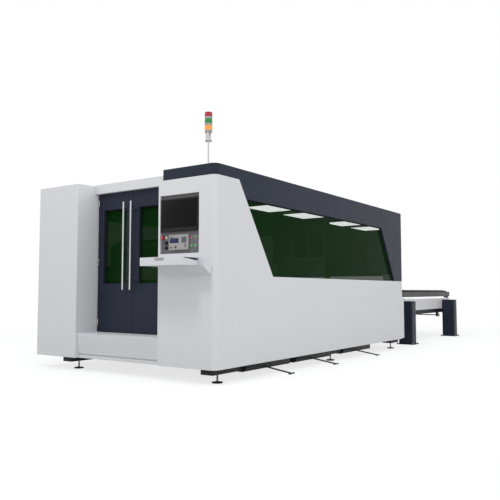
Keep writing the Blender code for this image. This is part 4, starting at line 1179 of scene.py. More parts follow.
    def roof_seams(self) -> None:
        """Cover strips over the roof's sheet joints, with their screws."""
        half_length, half_width = self.seam_half
        reach = self.seam_screw_reach
        boxes, places = [], []
        for at in self.seams:
            low = (MIDDLE - half_length, FRONT + at - half_width, ROOF_TOP + SEAT)
            high = (MIDDLE + half_length, FRONT + at + half_width, ROOF_TOP + self.seam_height)
            boxes.append((low, high))
            for x in spread(MIDDLE - reach, MIDDLE + reach, self.seam_screw_count):
                places.append((x, FRONT + at, self.seam_screw_level))
        self.blocks("roof_seam_strips", ROOF, boxes, self.thin_edge)
        self.heads("roof_seam_screws", ZINC, places, UP, self.seam_screw)

    def louvres(
        self, name: str, axis: Axis, span: Pair, wall: Pair, low: float, blades: Row
    ) -> None:
        """A row of sloping blades in a bay.

        Args:
            name: The piece's name.
            axis: The axis that the blades run along.
            span: Where they start and end on it.
            wall: The bay's back and the blades' outer edge, across them.
            low: The first blade's level.
            blades: How many blades there are, and the step from blade to blade.
        """
        inner, outer = wall
        count, pitch = blades
        high = low + abs(outer - inner) * self.blade_fall
        thick = self.blade_thickness
        outline = [(inner, high), (outer, low), (outer, low + thick), (inner, high + thick)]
        blade = self.bench.drawn(f"{name}_blade", outline, axis, span, 0.0)
        self.repeat(name, WHITE, blade, [(0.0, 0.0, pitch * n) for n in range(1, count)])

    def cabinet_leaf(self) -> None:
        """The service leaf in the cabinet's outer side: louvres, filter mats and a catch."""
        back = LEFT + self.bay_depth
        start, end = (FRONT + at for at in self.bay_ends)
        front, behind = self.mat
        mats = []
        for word, foot in self.bay_feet:
            mats.append(((back - front, start, foot), (back + behind, end, foot + self.bay_height)))
            wall = (back - front, LEFT + self.blade_set_back)
            low = foot + self.blade_lift
            name = f"cabinet_{word}_louvres"
            self.louvres(name, Axis.Y, (start, end), wall, low, self.bay_blades)
        self.blocks("cabinet_filter_mats", RUBBER, mats, 0.0)
        corner = (LEFT, start, 0.0)
        self.blocks("cabinet_catch", RUBBER, shifted(self.catch, corner), self.catch_edge)
        lock = tuple(Vector(self.catch_lock) + Vector(corner))
        self.heads("cabinet_catch_lock", CHROME, [lock], TO_LEFT, self.lock_head)

    def rear_panels(self) -> None:
        """Screwed access panels over the pallet port."""
        foot, top = self.access_levels
        margin, standing = self.access_screw_in
        face = REAR + standing
        boxes, places = [], []
        for low, high in self.access_ends:
            boxes.append(((low, REAR + SEAT, foot), (high, REAR + self.access_depth, top)))
            ends = (low + margin, high - margin)
            for z in (foot + margin, top - margin):
                places += [(x, face, z) for x in spread(*ends, self.access_screw_count)]
            places += [(x, face, z) for x in ends for z in self.access_screw_levels]
        self.blocks("rear_access_panels", WHITE, boxes)
        self.heads("rear_panel_screws", ZINC, places, TO_REAR, self.access_screw)

    def inner_plate(
        self, low: float, high: float, foot: float, top: float, proud: float = 0.0
    ) -> Box:
        """A plate on the rear wall's inner face."""
        near = self.inner_face - proud
        return ((low, near - self.inner_depth, foot), (high, near, top))

    def inner_panels(self) -> None:
        """A dark sheet inside the rear wall, painted shade for the machine's inside, and the
        blanked hatches beside and on it.
        """
        # The dark sheet is painted shade: it darkens the inside that the windows show.
        self.blocks("rear_inner_liner", ROOF, [self.inner_plate(*self.liner)])
        hatches = [self.inner_plate(*hatch) for hatch in self.hatches]
        self.blocks("rear_inner_hatches", BEZEL, hatches)

    def rear_fittings(self) -> None:
        """The port's brush, the louvred vents below it and the fume extraction spigots."""
        self.blocks("port_brush", RUBBER, [self.brush])
        foot, top = self.vent_levels
        vents = []
        for number, (low, high) in enumerate(self.vent_ends, 1):
            vents.append(((low, REAR + SEAT, foot), (high, REAR + self.vent_depth, top)))
            span = (low + self.vent_margin, high - self.vent_margin)
            name = f"rear_louvres_{number}"
            self.louvres(name, Axis.X, span, self.vent_wall, self.vent_low, self.vent_blades)
        self.blocks("rear_vent_plates", WHITE, vents, self.thin_edge)
        gap, level = self.spigot_half_gap, self.spigot_level
        spigot = self.bench.turned(
            "extraction_spigot",
            self.spigot_profile,
            (MIDDLE - gap, REAR + SEAT, level),
            TO_REAR,
            self.spigot_sides,
        )
        self.repeat("extraction_spigots", ZINC, spigot, [(2 * gap, 0.0, 0.0)])
        radius, face = self.spigot_screws
        places = []
        for side in (-1, 1):
            for turn in self.spigot_screw_turns:
                angle = math.radians(turn)
                x = MIDDLE + side * gap + radius * math.cos(angle)
                places.append((x, face, level + radius * math.sin(angle)))
        self.heads("spigot_screws", ZINC, places, TO_REAR, self.spigot_screw)


@dataclass
class Doors(SubAssembly):
    """The two door leaves: their glass, gaskets, pull bars and hinges.

    Depths on a leaf count from its face. Places given by side have the left leaf's first.
    """

    split: float = -0.2165
    face: float = FRONT + 0.30

    seal_half: float = 0.0012
    seal_depth: Pair = (0.004, 0.040)
    seal_levels: Pair = (0.47, 2.17)
    seal_edge: float = 0.0005

    pane_middle: float = 0.3065
    pane_half: float = 0.20
    pane_levels: Pair = (1.055, 1.975)
    gasket: tuple[float, float, Pair] = (-0.0005, 0.006, (0.028, 0.0365))
    clamp: tuple[float, float, Pair] = (0.018, 0.026, (0.0452, 0.0480))
    clamp_screw_half: float = 0.208
    clamp_screw_levels: Pair = (1.10, 1.93)
    clamp_screw_count: int = 5
    clamp_screw: Head = Head(0.010, 0.003, 12)

    bar_places: Pair = (-0.278, -0.155)
    bar_level: float = 1.08
    bar_post_pitch: float = 0.86
    collar_radius: float = 0.0155
    collar_depth: float = 0.006
    collar_edge: float = 0.0015

    hinge_places: Pair = (-0.814, 0.381)
    hinge_y: float = -4.193
    hinge_levels: Trio = (0.585, 1.333, 2.075)
    cap_levels: Pair = (0.0302, 0.0345)
    cap_size: Round = (0.0105, 0.0015, 16)
    barrel_levels: Pair = (-0.029, 0.029)
    barrel_size: Round = (0.0128, 0.001, 20)

    def build(self) -> None:
        """Dresses the leaves and adds their fittings."""
        self.nodes(NAVY, "left_door", "right_door", edge=Edge.SHEET)
        self.nodes(PANE, "left_door_glass", "right_door_glass")
        self.nodes(BRIGHT, "left_pull_bar", "right_pull_bar", edge=Edge.BAR)
        for side, word in SIDES:
            self.panes(side, word)
            self.bar_fittings(side, word)
            self.hinge_caps(side, word)
        (near, far), (foot, top) = self.seal_depth, self.seal_levels
        low = (self.split - self.seal_half, self.face + near, foot)
        high = (self.split + self.seal_half, self.face + far, top)
        self.blocks(
            "door_meeting_seal", RUBBER, [(low, high)], self.seal_edge, "right_door_leaf"
        )

    @staticmethod
    def of_side(places: Pair, side: int) -> float:
        """The left leaf's place or the right leaf's."""
        return places[0] if side < 0 else places[1]

    def panes(self, side: int, word: str) -> None:
        """A black gasket round the pane, and the clamping frame on the leaf's inner side."""
        middle = self.split + side * self.pane_middle
        foot, top = self.pane_levels
        body = f"{word}_door_leaf"
        rings = (("gasket", self.gasket, RUBBER), ("clamp", self.clamp, NAVY))
        for name, (grow, rim, (near, far)), finish in rings:
            reach = self.pane_half + grow
            outline = plate_outline((middle - reach, foot - grow), (middle + reach, top + grow))
            span = (self.face + near, self.face + far)
            ring = self.bench.drawn(f"{word}_pane_{name}", outline, Axis.Y, span, FINE_EDGE, rim)
            self.keep(ring, finish, body)
        back = self.face + self.clamp[2][1]
        levels = spread(*self.clamp_screw_levels, self.clamp_screw_count)
        half = self.clamp_screw_half
        places = [(middle + x, back, z) for x in (-half, half) for z in levels]
        self.heads(f"{word}_clamp_screws", ZINC, places, TO_REAR, self.clamp_screw, body)

    def bar_fittings(self, side: int, word: str) -> None:
        """Collars where the bar's posts meet the leaf."""
        x, z = self.of_side(self.bar_places, side), self.bar_level
        front, back = (x, self.face - self.collar_depth, z), (x, self.face - SEAT, z)
        collar = self.bench.drum("collar", front, back, self.collar_radius, self.collar_edge)
        shifts = [(0.0, 0.0, self.bar_post_pitch)]
        self.repeat(f"{word}_bar_collars", NAVY, collar, shifts, f"{word}_door_leaf")

    def hinge_caps(self, side: int, word: str) -> None:
        """Caps and barrels on the hinge knuckles."""
        centre = (self.of_side(self.hinge_places, side), self.hinge_y)
        shapes = []
        for level in self.hinge_levels:
            for name, span, size in (
                ("cap", self.cap_levels, self.cap_size),
                ("barrel", self.barrel_levels, self.barrel_size),
            ):
                low, high = (level + at for at in span)
                shapes.append(self.bench.upright(name, centre, (low, high), *size))
        piece = self.bench.joined(f"{word}_hinge_caps", shapes)
        self.keep(piece, ZINC, f"{word}_door_leaf")


@dataclass(frozen=True)
class Ring:
    """A flat ring on the fascia round a control, by the control's name."""

    name: str
    x: float
    z: float
    inner: float
    width: float = 0.0034
    height: float = 0.0026
    finish: Finish = CHROME


@dataclass
class Console(SubAssembly):
    """The operator console: fascia, monitor, height control unit, controls and shelf.

    An area on a front face is its two ends in X and then its two levels.
    """

    plate: float = FRONT + 0.0247
    screen: float = FRONT + 0.0024
    unit: float = FRONT + 0.0064
    tray_front: float = FRONT - 0.27
    small_edge: float = 0.0006

    bezel_corners: tuple[Pair, Pair] = ((0.5225, 1.6055), (1.0505, 1.9645))
    bezel_rim: float = 0.017
    bezel_height: float = 0.0035
    bezel_edge: float = 0.0012
    glass: Area = (0.541, 1.032, 1.648, 1.947)
    glass_height: float = 0.0012
    strip: tuple[Area, ...] = (
        (0.600, 0.636, 1.6335, 1.6365),
        (0.658, 0.955, 1.6335, 1.6365),
    )
    strip_height: float = 0.0016

    border_corners: tuple[Pair, Pair] = ((0.6395, 1.4095), (0.9105, 1.5695))
    border_radius: float = 0.010
    border_rim: float = 0.0035
    border_height: float = 0.0020
    display: Area = (0.652, 0.772, 1.486, 1.531)
    display_height: float = 0.0010
    display_frame: tuple[Area, ...] = (
        (0.648, 0.776, 1.482, 1.535),
        (0.652, 0.700, 1.541, 1.549),
    )
    frame_height: float = 0.0006
    first_key: Area = (0.818, 0.839, 1.484, 1.502)
    key_pitch: Pair = (0.024, 0.021)
    key_count: int = 3
    small_keys: tuple[Area, ...] = (
        (0.862, 0.880, 1.458, 1.470),
        (0.862, 0.880, 1.436, 1.448),
        (0.660, 0.678, 1.426, 1.442),
    )
    key_height: float = 0.0022
    unit_lamp: Pair = (0.669, 1.462)
    lamp_head: Head = Head(0.009, 0.0022, 16)
    unit_dial: Pair = (0.735, 1.438)
    dial_head: Head = Head(0.022, 0.010, 24)

    rings: tuple[Ring, ...] = (
        Ring("emergency_stop", 0.540, 1.54598, 0.0188, 0.0037, 0.0024, BEZEL),
        Ring("key", 0.585, 1.54598, 0.0116, 0.0039, 0.0030),
        Ring("upper_selector", 0.585, 1.48909, 0.0176, finish=BEZEL),
        Ring("lower_selector", 0.585, 1.43507, 0.0176, finish=BEZEL),
        Ring("stop_button", 0.946, 1.53598, 0.0116),
        Ring("start_button", 1.000, 1.53598, 0.0116),
        Ring("table_out_button", 0.946, 1.44697, 0.0116),
        Ring("table_in_button", 1.000, 1.44697, 0.0116),
    )
    ring_sides: int = 32
    knob_height: float = 0.021
    mark_half: float = 0.0009
    mark_reach: Pair = (0.003, 0.0125)
    mark_height: float = 0.0006
    screw_ends: Pair = (0.519, 1.055)
    screw_levels: Trio = (1.376, 1.587, 1.999)
    fascia_screw: Head = Head(0.007, 0.002, 12)

    grip: Box = ((0.6875, 0.0004, 1.2815), (0.8165, 0.0068, 1.3105))
    grip_edge: float = 0.002
    keyboard_box: Box = ((0.55, -4.700, 1.2385), (0.99, -4.560, 1.250))
    keyboard_edge: float = 0.003
    letter_key: Box = ((0.556, -4.695, 1.2502), (0.576, -4.675, 1.2565))
    letter_edge: float = 0.0015
    letter_pitch: Pair = (0.0273, 0.0265)
    letter_rows: tuple[int, int] = (16, 5)

    def build(self) -> None:
        """Dresses the console's nodes and adds its fittings."""
        self.nodes(FASCIA, "console_fascia", edge=Edge.RAIL)
        self.nodes(BEZEL, "monitor", edge=Edge.PANEL)
        self.nodes(UNIT, "height_control_unit", edge=Edge.MOULDING)
        small = Edge.BUTTON
        self.nodes(RED, "emergency_stop", "stop_button", edge=small)
        self.nodes(GREEN, "start_button", "table_in_button", "table_out_button", edge=small)
        self.nodes(CHROME, "key_switch", edge=small)
        self.nodes(BEZEL, "upper_selector", "lower_selector", edge=small)
        self.nodes(WHITE, "shelf_sleeve", "keyboard_tray", "shelf_bracket", edge=Edge.SHELF)
        self.monitor()
        self.control_unit()
        self.control_rings()
        self.keyboard()

    def face_blocks(
        self,
        name: str,
        finish: Finish,
        plane: float,
        height: float,
        areas: Iterable[Area],
        body: str = "machine",
    ) -> None:
        """Low blocks on a front face.

        Args:
            name: The piece's name.
            finish: Its finish.
            plane: The face they stand on.
            height: How far they stand proud.
            areas: Each block's two ends in X and two levels.
            body: The body it rides on.
        """
        edge_share, widest_edge = 0.4, 0.001
        boxes = [((x0, plane - height, z0), (x1, plane - FILM, z1)) for x0, x1, z0, z1 in areas]
        self.blocks(name, finish, boxes, min(height * edge_share, widest_edge), body)

    def monitor(self) -> None:
        """The monitor's raised bezel, its glass and the key strip under it."""
        span = (self.screen - self.bezel_height, self.screen - FILM)
        outline = plate_outline(*self.bezel_corners)
        rim = self.bench.drawn(
            "monitor_bezel", outline, Axis.Y, span, self.bezel_edge, self.bezel_rim
        )
        self.keep(rim, SCREEN_BEZEL)
        self.face_blocks("monitor_glass", SCREEN, self.screen, self.glass_height, [self.glass])
        self.face_blocks(
            "monitor_key_strip", SCREEN_STEEL, self.screen, self.strip_height, self.strip
        )

    def control_unit(self) -> None:
        """The height control unit's border, display, keypad, small keys and lamps."""
        unit, height = self.unit, self.key_height
        span = (unit - self.border_height, unit - FILM)
        outline = plate_outline(*self.border_corners, self.border_radius)
        rim = self.bench.drawn(
            "unit_border", outline, Axis.Y, span, self.small_edge, self.border_rim
        )
        self.keep(rim, UNIT)
        self.face_blocks("unit_display", DISPLAY, unit, self.display_height, [self.display])
        self.face_blocks(
            "unit_display_frame", SCREEN_BEZEL, unit, self.frame_height, self.display_frame
        )
        x0, x1, z0, z1 = self.first_key
        across, up = self.key_pitch
        steps = [(across * n, up * m) for n in range(self.key_count) for m in range(self.key_count)]
        keys = [(x0 + dx, x1 + dx, z0 + dz, z1 + dz) for dx, dz in steps]
        self.face_blocks("unit_keypad", KEYPAD, unit, height, keys)
        self.face_blocks("unit_small_keys", SCREEN_BEZEL, unit, height, self.small_keys)
        for name, finish, (x, z), head in (
            ("unit_lamp", YELLOW, self.unit_lamp, self.lamp_head),
            ("unit_dial", DARK_STEEL, self.unit_dial, self.dial_head),
        ):
            self.heads(name, finish, [(x, unit, z)], TO_FRONT, head)

    def ring(self, ring: Ring) -> None:
        """A flat ring on the fascia round a control."""
        outline = circle((ring.x, ring.z), ring.inner + ring.width, self.ring_sides)
        span = (self.plate - ring.height, self.plate - FILM)
        made = self.bench.drawn(
            f"{ring.name}_ring", outline, Axis.Y, span, self.small_edge, ring.width
        )
        self.keep(made, ring.finish)

    def control_rings(self) -> None:
        """Rings round the controls, marks on the selectors and the fascia's screws."""
        for ring in self.rings:
            self.ring(ring)
        low, high = self.mark_reach
        for ring in self.rings:
            word, _, kind = ring.name.partition("_")
            if kind == "selector":
                ends = (ring.x - self.mark_half, ring.x + self.mark_half)
                area = (*ends, ring.z + low, ring.z + high)
                plane = self.plate - self.knob_height
                name = f"{ring.name}_mark"
                self.face_blocks(name, WHITE, plane, self.mark_height, [area], f"{word}_knob")
        places = [(x, self.plate, z) for x in self.screw_ends for z in self.screw_levels]
        self.heads("fascia_screws", ZINC, places, TO_FRONT, self.fascia_screw)

    def keyboard(self) -> None:
        """The tray's recessed grip, and a keyboard on the tray."""
        grip = shifted([self.grip], (0.0, self.tray_front, 0.0))
        self.blocks("tray_grip", UNIT, grip, self.grip_edge, "tray")
        self.blocks("keyboard_base", RUBBER, [self.keyboard_box], self.keyboard_edge, "tray")
        key = self.bench.slab("keyboard_keys_first", *self.letter_key, self.letter_edge)
        (across, back), (count, rows) = self.letter_pitch, self.letter_rows
        shifts = [(across * n, back * m, 0.0) for m in range(rows) for n in range(count)]
        self.repeat("keyboard_keys", BEZEL, key, shifts[1:], "tray")


def node_corners(name: str) -> list[Vector]:
    """The corners of a CAD node's box."""
    node = bpy.data.objects[name]
    return [node.matrix_world @ Vector(corner) for corner in node.bound_box]


def node_middle(name: str) -> Vector:
    """The middle of a CAD node's box."""
    corners = node_corners(name)
    return sum(corners, Vector()) / len(corners)


@dataclass
class Underside(SubAssembly):
    """The levelling feet and the scrap drawers."""

    rows: tuple[str, ...] = ("front", "middle", "rear")
    nut_levels: Pair = (0.034, 0.0845)
    nut: Head = Head(0.030, 0.013)
    rim_levels: Pair = (0.0004, 0.0130)
    rim_radius: float = 0.058
    rim_width: float = 0.0192
    rim_edge: float = 0.003
    rim_sides: int = 48

    drawers: Trio = (0.57, 1.65, 2.95)
    grip_out: float = 0.341
    grip_middle: float = 0.37
    grip_level: float = 0.055
    cap_ends: Pair = (0.045, 0.056)
    cap_size: Round = (0.0088, 0.002, 16)
    cap_pitch: float = 0.101
    stiffener: Box = ((-0.0198, 0.02, 0.124), (-0.012, 0.91, 0.146))

    def build(self) -> None:
        """Dresses the feet and drawers and adds their nuts, rims and end caps."""
        feet = [f"{row}_{word}_foot" for row in self.rows for _, word in SIDES]
        self.nodes(DARK_STEEL, *feet, edge=Edge.TURNED)
        drawers = [f"scrap_drawer_{number}" for number in range(1, len(self.drawers) + 1)]
        self.nodes(BLACK, *drawers, edge=Edge.BAR)
        self.foot_fittings([node_middle(foot) for foot in feet])
        for number, at in enumerate(self.drawers, 1):
            self.drawer_fittings(number, FRONT + at)

    def foot_fittings(self, middles: Sequence[Vector]) -> None:
        """Two nuts on each foot's stem, and a wide rubber rim round its pad."""
        places = [(middle.x, middle.y, z) for middle in middles for z in self.nut_levels]
        self.heads("foot_nuts", ZINC, places, UP, self.nut)
        first = middles[0]
        outline = circle((first.x, first.y), self.rim_radius, self.rim_sides)
        rim = self.bench.drawn(
            "foot_rims", outline, Axis.Z, self.rim_levels, self.rim_edge, self.rim_width
        )
        shifts = [(middle.x - first.x, middle.y - first.y, 0.0) for middle in middles[1:]]
        self.repeat("foot_rims", RUBBER, rim, shifts)

    def drawer_fittings(self, number: int, start: float) -> None:
        """Rubber caps on the grip's ends, and a folded stiffener along the drawer's front."""
        body, x, z = f"drawer_{number}", RIGHT + self.grip_out, self.grip_level
        near, far = ((x, start + self.grip_middle + at, z) for at in self.cap_ends)
        cap = self.bench.drum("cap", near, far, *self.cap_size)
        shifts = [(0.0, -self.cap_pitch, 0.0)]
        self.repeat(f"{body}_grip_caps", RUBBER, cap, shifts, body)
        lip = shifted([self.stiffener], (RIGHT, start, 0.0))
        self.blocks(f"{body}_stiffener", BLACK, lip, body=body)


@dataclass
class CuttingGantry(SubAssembly):
    """The gantry inside the enclosure: beam, carriage, slide and cutting head."""

    front: float = FRONT + 1.10
    thin_edge: float = 0.0008

    bearing_ends: Pair = (-0.137, 0.3505)
    bearing_length: float = 0.0265
    bearing_walls: tuple[Area, ...] = (
        (0.2015, 0.2145, 1.0835, 1.132),
        (0.2505, 0.2635, 1.0835, 1.132),
        (0.2015, 0.2635, 1.1112, 1.140),
    )
    rail_in: float = 0.2325
    rail_top: float = 1.1103
    rail_screw_ends: Pair = (0.72, 5.06)
    rail_screw_count: int = 32
    rail_screw: Head = Head(0.010, 0.0004, 12)

    motor_y: float = 0.296
    flange_half: float = 0.05
    flange_levels: Pair = (1.3107, 1.326)
    motor_levels: Pair = (1.3258, 1.47)
    motor_size: Pair = (0.045, 0.003)
    motor_cap_levels: Pair = (1.47, 1.51)
    motor_cap_size: Pair = (0.038, 0.004)

    trough_in: float = 0.20
    trough_walls: tuple[Trio, ...] = (
        (0.06, 0.20, 1.624),
        (0.06, 0.064, 1.668),
        (0.196, 0.20, 1.668),
    )
    trough_foot: float = 1.6203
    chain_in: float = 0.24
    chain_link: Box = ((0.0, 0.085, 1.6242), (0.040, 0.175, 1.655))
    chain_edge: float = 0.004
    chain_links: Row = (54, 0.045)
    bellows_in: float = 0.36
    bellows_fold: Box = ((0.0, -0.012, 1.385), (0.022, -SEAT, 1.515))
    bellows_edge: float = 0.003
    bellows_folds: Row = (77, 0.0285)

    head_x: float = 0.495
    collimator: tuple[Pair, ...] = (
        (0.034, 0.0),
        (0.034, 0.02),
        (0.028, 0.024),
        (0.028, 0.085),
        (0.022, 0.092),
        (0.022, 0.13),
        (0.010, 0.14),
        (0.008, 0.165),
    )
    nozzle_levels: Pair = (1.285, 1.312)
    nozzle_size: Round = (0.0365, 0.002, 32)
    drawer_plates: tuple[Box, ...] = (
        ((-0.040, -0.006, 1.43), (0.040, -FILM, 1.475)),
        ((-0.030, -0.004, 1.56), (0.030, -FILM, 1.70)),
    )
    drawer_edge: float = 0.0015
    drawer_screws: Point = (0.032, -0.006, 1.4525)
    drawer_screw: Head = Head(0.009, 0.008, 16)

    def build(self) -> None:
        """Dresses the gantry's nodes and adds its drives, guides and covers."""
        self.nodes(BRIGHT, "right_gantry_rail", "left_gantry_rail", edge=Edge.RAIL)
        self.nodes(WHITE, "gantry_beam", edge=Edge.PANEL)
        self.nodes(SLATE, "cross_carriage", "head_slide", edge=Edge.SHEET)
        self.nodes(UNIT, "cutting_head", edge=Edge.SHEET)
        self.rail_blocks()
        self.motors()
        self.beam_covers()
        self.head_fittings()

    def rail_blocks(self) -> None:
        """Bearing blocks round the rails at both ends of each truck, and the rails' screws."""
        boxes = []
        for side, _ in SIDES:
            for y in (self.front + at for at in self.bearing_ends):
                for low, high, foot, top in self.bearing_walls:
                    far = y + self.bearing_length
                    boxes.append(((inward(side, low), y, foot), (inward(side, high), far, top)))
        self.blocks("rail_bearing_blocks", SLATE, boxes, body="gantry")
        near, far = self.rail_screw_ends
        rows = spread(FRONT + near, FRONT + far, self.rail_screw_count)
        for side, word in SIDES:
            places = [(inward(side, self.rail_in), y, self.rail_top) for y in rows]
            self.heads(f"{word}_rail_screws", DARK_STEEL, places, UP, self.rail_screw)

    def motors(self) -> None:
        """A servo motor on each truck, with its flange and cap."""
        motors, caps = [], []
        y, half = self.front + self.motor_y, self.flange_half
        foot, top = self.flange_levels
        upright = self.bench.upright
        for side, _ in SIDES:
            x = inward(side, self.rail_in)
            low, high = (x - half, y - half, foot), (x + half, y + half, top)
            motors.append(self.bench.slab("flange", low, high))
            motors.append(upright("motor", (x, y), self.motor_levels, *self.motor_size))
            caps.append(upright("cap", (x, y), self.motor_cap_levels, *self.motor_cap_size))
        self.keep(self.bench.joined("drive_motors", motors), BLACK, "gantry")
        self.keep(self.bench.joined("drive_motor_caps", caps), SLATE, "gantry")

    def beam_covers(self) -> None:
        """The cable trough and chain on the beam, and the ribbed cover between its guides."""
        ends = (inward(1, self.trough_in), inward(-1, self.trough_in))
        trough = [
            ((ends[0], self.front + near, self.trough_foot), (ends[1], self.front + far, top))
            for near, far, top in self.trough_walls
        ]
        self.blocks("cable_trough", SLATE, trough, self.thin_edge, "gantry")
        for name, box, distance, edge, (count, pitch) in (
            ("cable_chain", self.chain_link, self.chain_in, self.chain_edge, self.chain_links),
            (
                "beam_bellows",
                self.bellows_fold,
                self.bellows_in,
                self.bellows_edge,
                self.bellows_folds,
            ),
        ):
            [corners] = shifted([box], (inward(-1, distance), self.front, 0.0))
            first = self.bench.slab(name, *corners, edge)
            shifts = [(pitch * n, 0.0, 0.0) for n in range(1, count)]
            self.repeat(name, RUBBER, first, shifts, "gantry")

    def head_fittings(self) -> None:
        """The collimator on the head, its copper nozzle ring, lens drawer and slide screws."""
        corners = node_corners("cutting_head")
        x, y = self.head_x, node_middle("cutting_head").y
        front, top = min(corner.y for corner in corners), max(corner.z for corner in corners)
        tube = self.bench.turned("head_collimator", self.collimator, (x, y, top + FILM), UP)
        self.keep(tube, BLACK, "head")
        nozzle = self.bench.upright("nozzle_ring", (x, y), self.nozzle_levels, *self.nozzle_size)
        self.keep(nozzle, COPPER, "head")
        plates = shifted(self.drawer_plates, (x, front, 0.0))
        self.blocks("lens_drawer", SLATE, plates, self.drawer_edge, "head")
        reach, back, z = self.drawer_screws
        places = [(x + dx, front + back, z) for dx in (-reach, reach)]
        self.heads("lens_drawer_screws", CHROME, places, TO_FRONT, self.drawer_screw, "head")


@dataclass
class ExchangeTable(SubAssembly):
    """The pallet exchange table behind the machine.

    Places in from the body's faces are pairs, the outer one first.
    """

    post_starts: Pair = (FRONT + 5.83, FRONT + 8.37)
    cap_in: Pair = (0.072, 0.308)
    cap_ends: Pair = (0.012, 0.208)
    cap_levels: Pair = (0.7752, 0.779)
    cap_edge: float = 0.0015
    cap_screw_in: Pair = (0.095, 0.285)
    cap_screw_ends: Pair = (0.035, 0.185)
    cap_screw: Head = Head(0.012, 0.003, 12)
    anchor_in: Pair = (0.045, 0.335)
    anchor_ends: Pair = (-0.015, 0.235)
    anchor_level: float = 0.0121
    anchor: Head = Head(0.022, 0.014)

    pallet_start: float = FRONT + 5.44
    pallet_length: float = 3.80
    pallet_drops: tuple[tuple[str, float], ...] = (("upper", 0.0), ("lower", 0.20))
    hub_in: float = 0.382
    hub_level: float = 0.8283
    hub_shares: Pair = (0.06, 0.94)
    hub_height: float = 0.004
    hub_size: Round = (0.013, 0.001, 16)
    bolt_in: float = 0.4119
    bolt_level: float = 0.915
    bolt_margin: float = 0.12
    bolt_count: int = 14
    bolt_height: float = 0.0045
    bolt_size: Round = (0.0075, 0.0008, 6)

    drive_axis: Pair = (FRONT + 8.55, 0.440)
    tie_foot: float = 0.5075
    bearing_places: tuple[float, ...] = (-1.15, -0.55, 0.25, 0.80)
    bearing_half: Pair = (0.02, 0.03)
    gearbox_ends: Pair = (-0.20, -0.02)
    gearbox_reach: Pair = (0.08, 0.09)
    drive_edge: float = 0.003
    shaft: tuple[tuple[str, float, float, float, float], ...] = (
        ("shaft", -1.20, 0.86, 0.0125, 0.001),
        ("left_sprocket", -1.19, -1.176, 0.045, 0.002),
        ("right_sprocket", 0.826, 0.84, 0.045, 0.002),
    )
    motor_x: float = -0.11
    motor_drums: tuple[tuple[str, float, float, float, float], ...] = (
        ("motor", -0.0801, -0.27, 0.062, 0.004),
        ("fan_cover", -0.262, -0.31, 0.056, 0.006),
    )
    terminal_box: Box = ((-0.05, -0.20, 0.05), (0.05, -0.11, 0.062))

    def build(self) -> None:
        """Dresses the table's nodes and adds its caps, screws, hubs and lift drive."""
        posts = [f"{word}_{row}_post" for row in ("near", "far") for _, word in SIDES]
        self.nodes(NAVY, *posts, edge=Edge.PANEL)
        self.nodes(BLACK, "table_base", edge=Edge.SHEET)
        self.nodes(WHITE, "lift_frame", edge=Edge.FRAME)
        self.nodes(PALLET, "upper_pallet", "lower_pallet")
        self.post_fittings()
        self.pallet_fittings()
        self.lift_drive()

    def post_fittings(self) -> None:
        """Caps on the posts, screws in them and anchor bolts through their floor plates."""
        caps, screws, anchors = [], [], []
        (foot, top), (near, far) = self.cap_levels, self.cap_ends
        for side, _ in SIDES:
            for y in self.post_starts:
                outer, inner = (inward(side, at) for at in self.cap_in)
                caps.append(((outer, y + near, foot), (inner, y + far, top)))
                for places, rows, ends, level in (
                    (screws, self.cap_screw_in, self.cap_screw_ends, top),
                    (anchors, self.anchor_in, self.anchor_ends, self.anchor_level),
                ):
                    places += [(inward(side, at), y + dy, level) for at in rows for dy in ends]
        self.blocks("post_caps", NAVY, caps, self.cap_edge)
        self.heads("post_cap_screws", ZINC, screws, UP, self.cap_screw)
        self.heads("anchor_bolts", ZINC, anchors, UP, self.anchor)

    def studs(
        self,
        name: str,
        distance: float,
        rows: Iterable[float],
        level: float,
        height: float,
        size: Round,
    ) -> list[bpy.types.Object]:
        """Short drums standing outwards from both sides of a pallet.

        Args:
            name: The drums' name.
            distance: How far in from the body's faces they stand.
            rows: Their places along the machine.
            level: Their level.
            height: How far they stand out.
            size: Their radius, rounded edge and number of sides.

        Returns:
            The drums.
        """
        made = []
        for side, _ in SIDES:
            root = inward(side, distance)
            for y in rows:
                tip = (root + side * height, y, level)
                made.append(self.bench.drum(name, (root, y, level), tip, *size))
        return made

    def pallet_fittings(self) -> None:
        """Wheel hubs and side bolts on both pallets."""
        start, length, margin = self.pallet_start, self.pallet_length, self.bolt_margin
        axles = [start + length * share for share in self.hub_shares]
        seams = spread(start + margin, start + length - margin, self.bolt_count)
        for word, drop in self.pallet_drops:
            hub_level, bolt_level = self.hub_level - drop, self.bolt_level - drop
            hubs = self.studs(
                "hub", self.hub_in, axles, hub_level, self.hub_height, self.hub_size
            )
            bolts = self.studs(
                "bolt", self.bolt_in, seams, bolt_level, self.bolt_height, self.bolt_size
            )
            body = f"{word}_shuttle"
            self.keep(self.bench.joined(f"{word}_pallet_hubs", hubs), ZINC, body)
            self.keep(self.bench.joined(f"{word}_pallet_bolts", bolts), DARK_STEEL, body)

    def lift_drive(self) -> None:
        """The lift's gear motor and cross shaft, hung from the far tie of the base."""
        (y, z), tie = self.drive_axis, self.tie_foot
        across, along = self.bearing_half
        boxes = [
            ((x - across, y - along, z - along), (x + across, y + along, tie))
            for x in self.bearing_places
        ]
        (left, right), (reach, drop) = self.gearbox_ends, self.gearbox_reach
        boxes.append(((left, y - reach, z - drop), (right, y + reach, tie)))
        self.blocks("lift_bearings", BLACK, boxes, self.drive_edge)
        shaft = [
            self.bench.drum(name, (low, y, z), (high, y, z), radius, edge)
            for name, low, high, radius, edge in self.shaft
        ]
        self.keep(self.bench.joined("lift_shaft", shaft), ZINC)
        x = self.motor_x
        motor = [
            self.bench.drum(name, (x, y + near, z), (x, y + far, z), radius, edge)
            for name, near, far, radius, edge in self.motor_drums
        ]
        [corners] = shifted([self.terminal_box], (x, y, z))
        motor.append(self.bench.slab("terminal_box", *corners, self.drive_edge))
        self.keep(self.bench.joined("lift_motor", motor), NAVY)


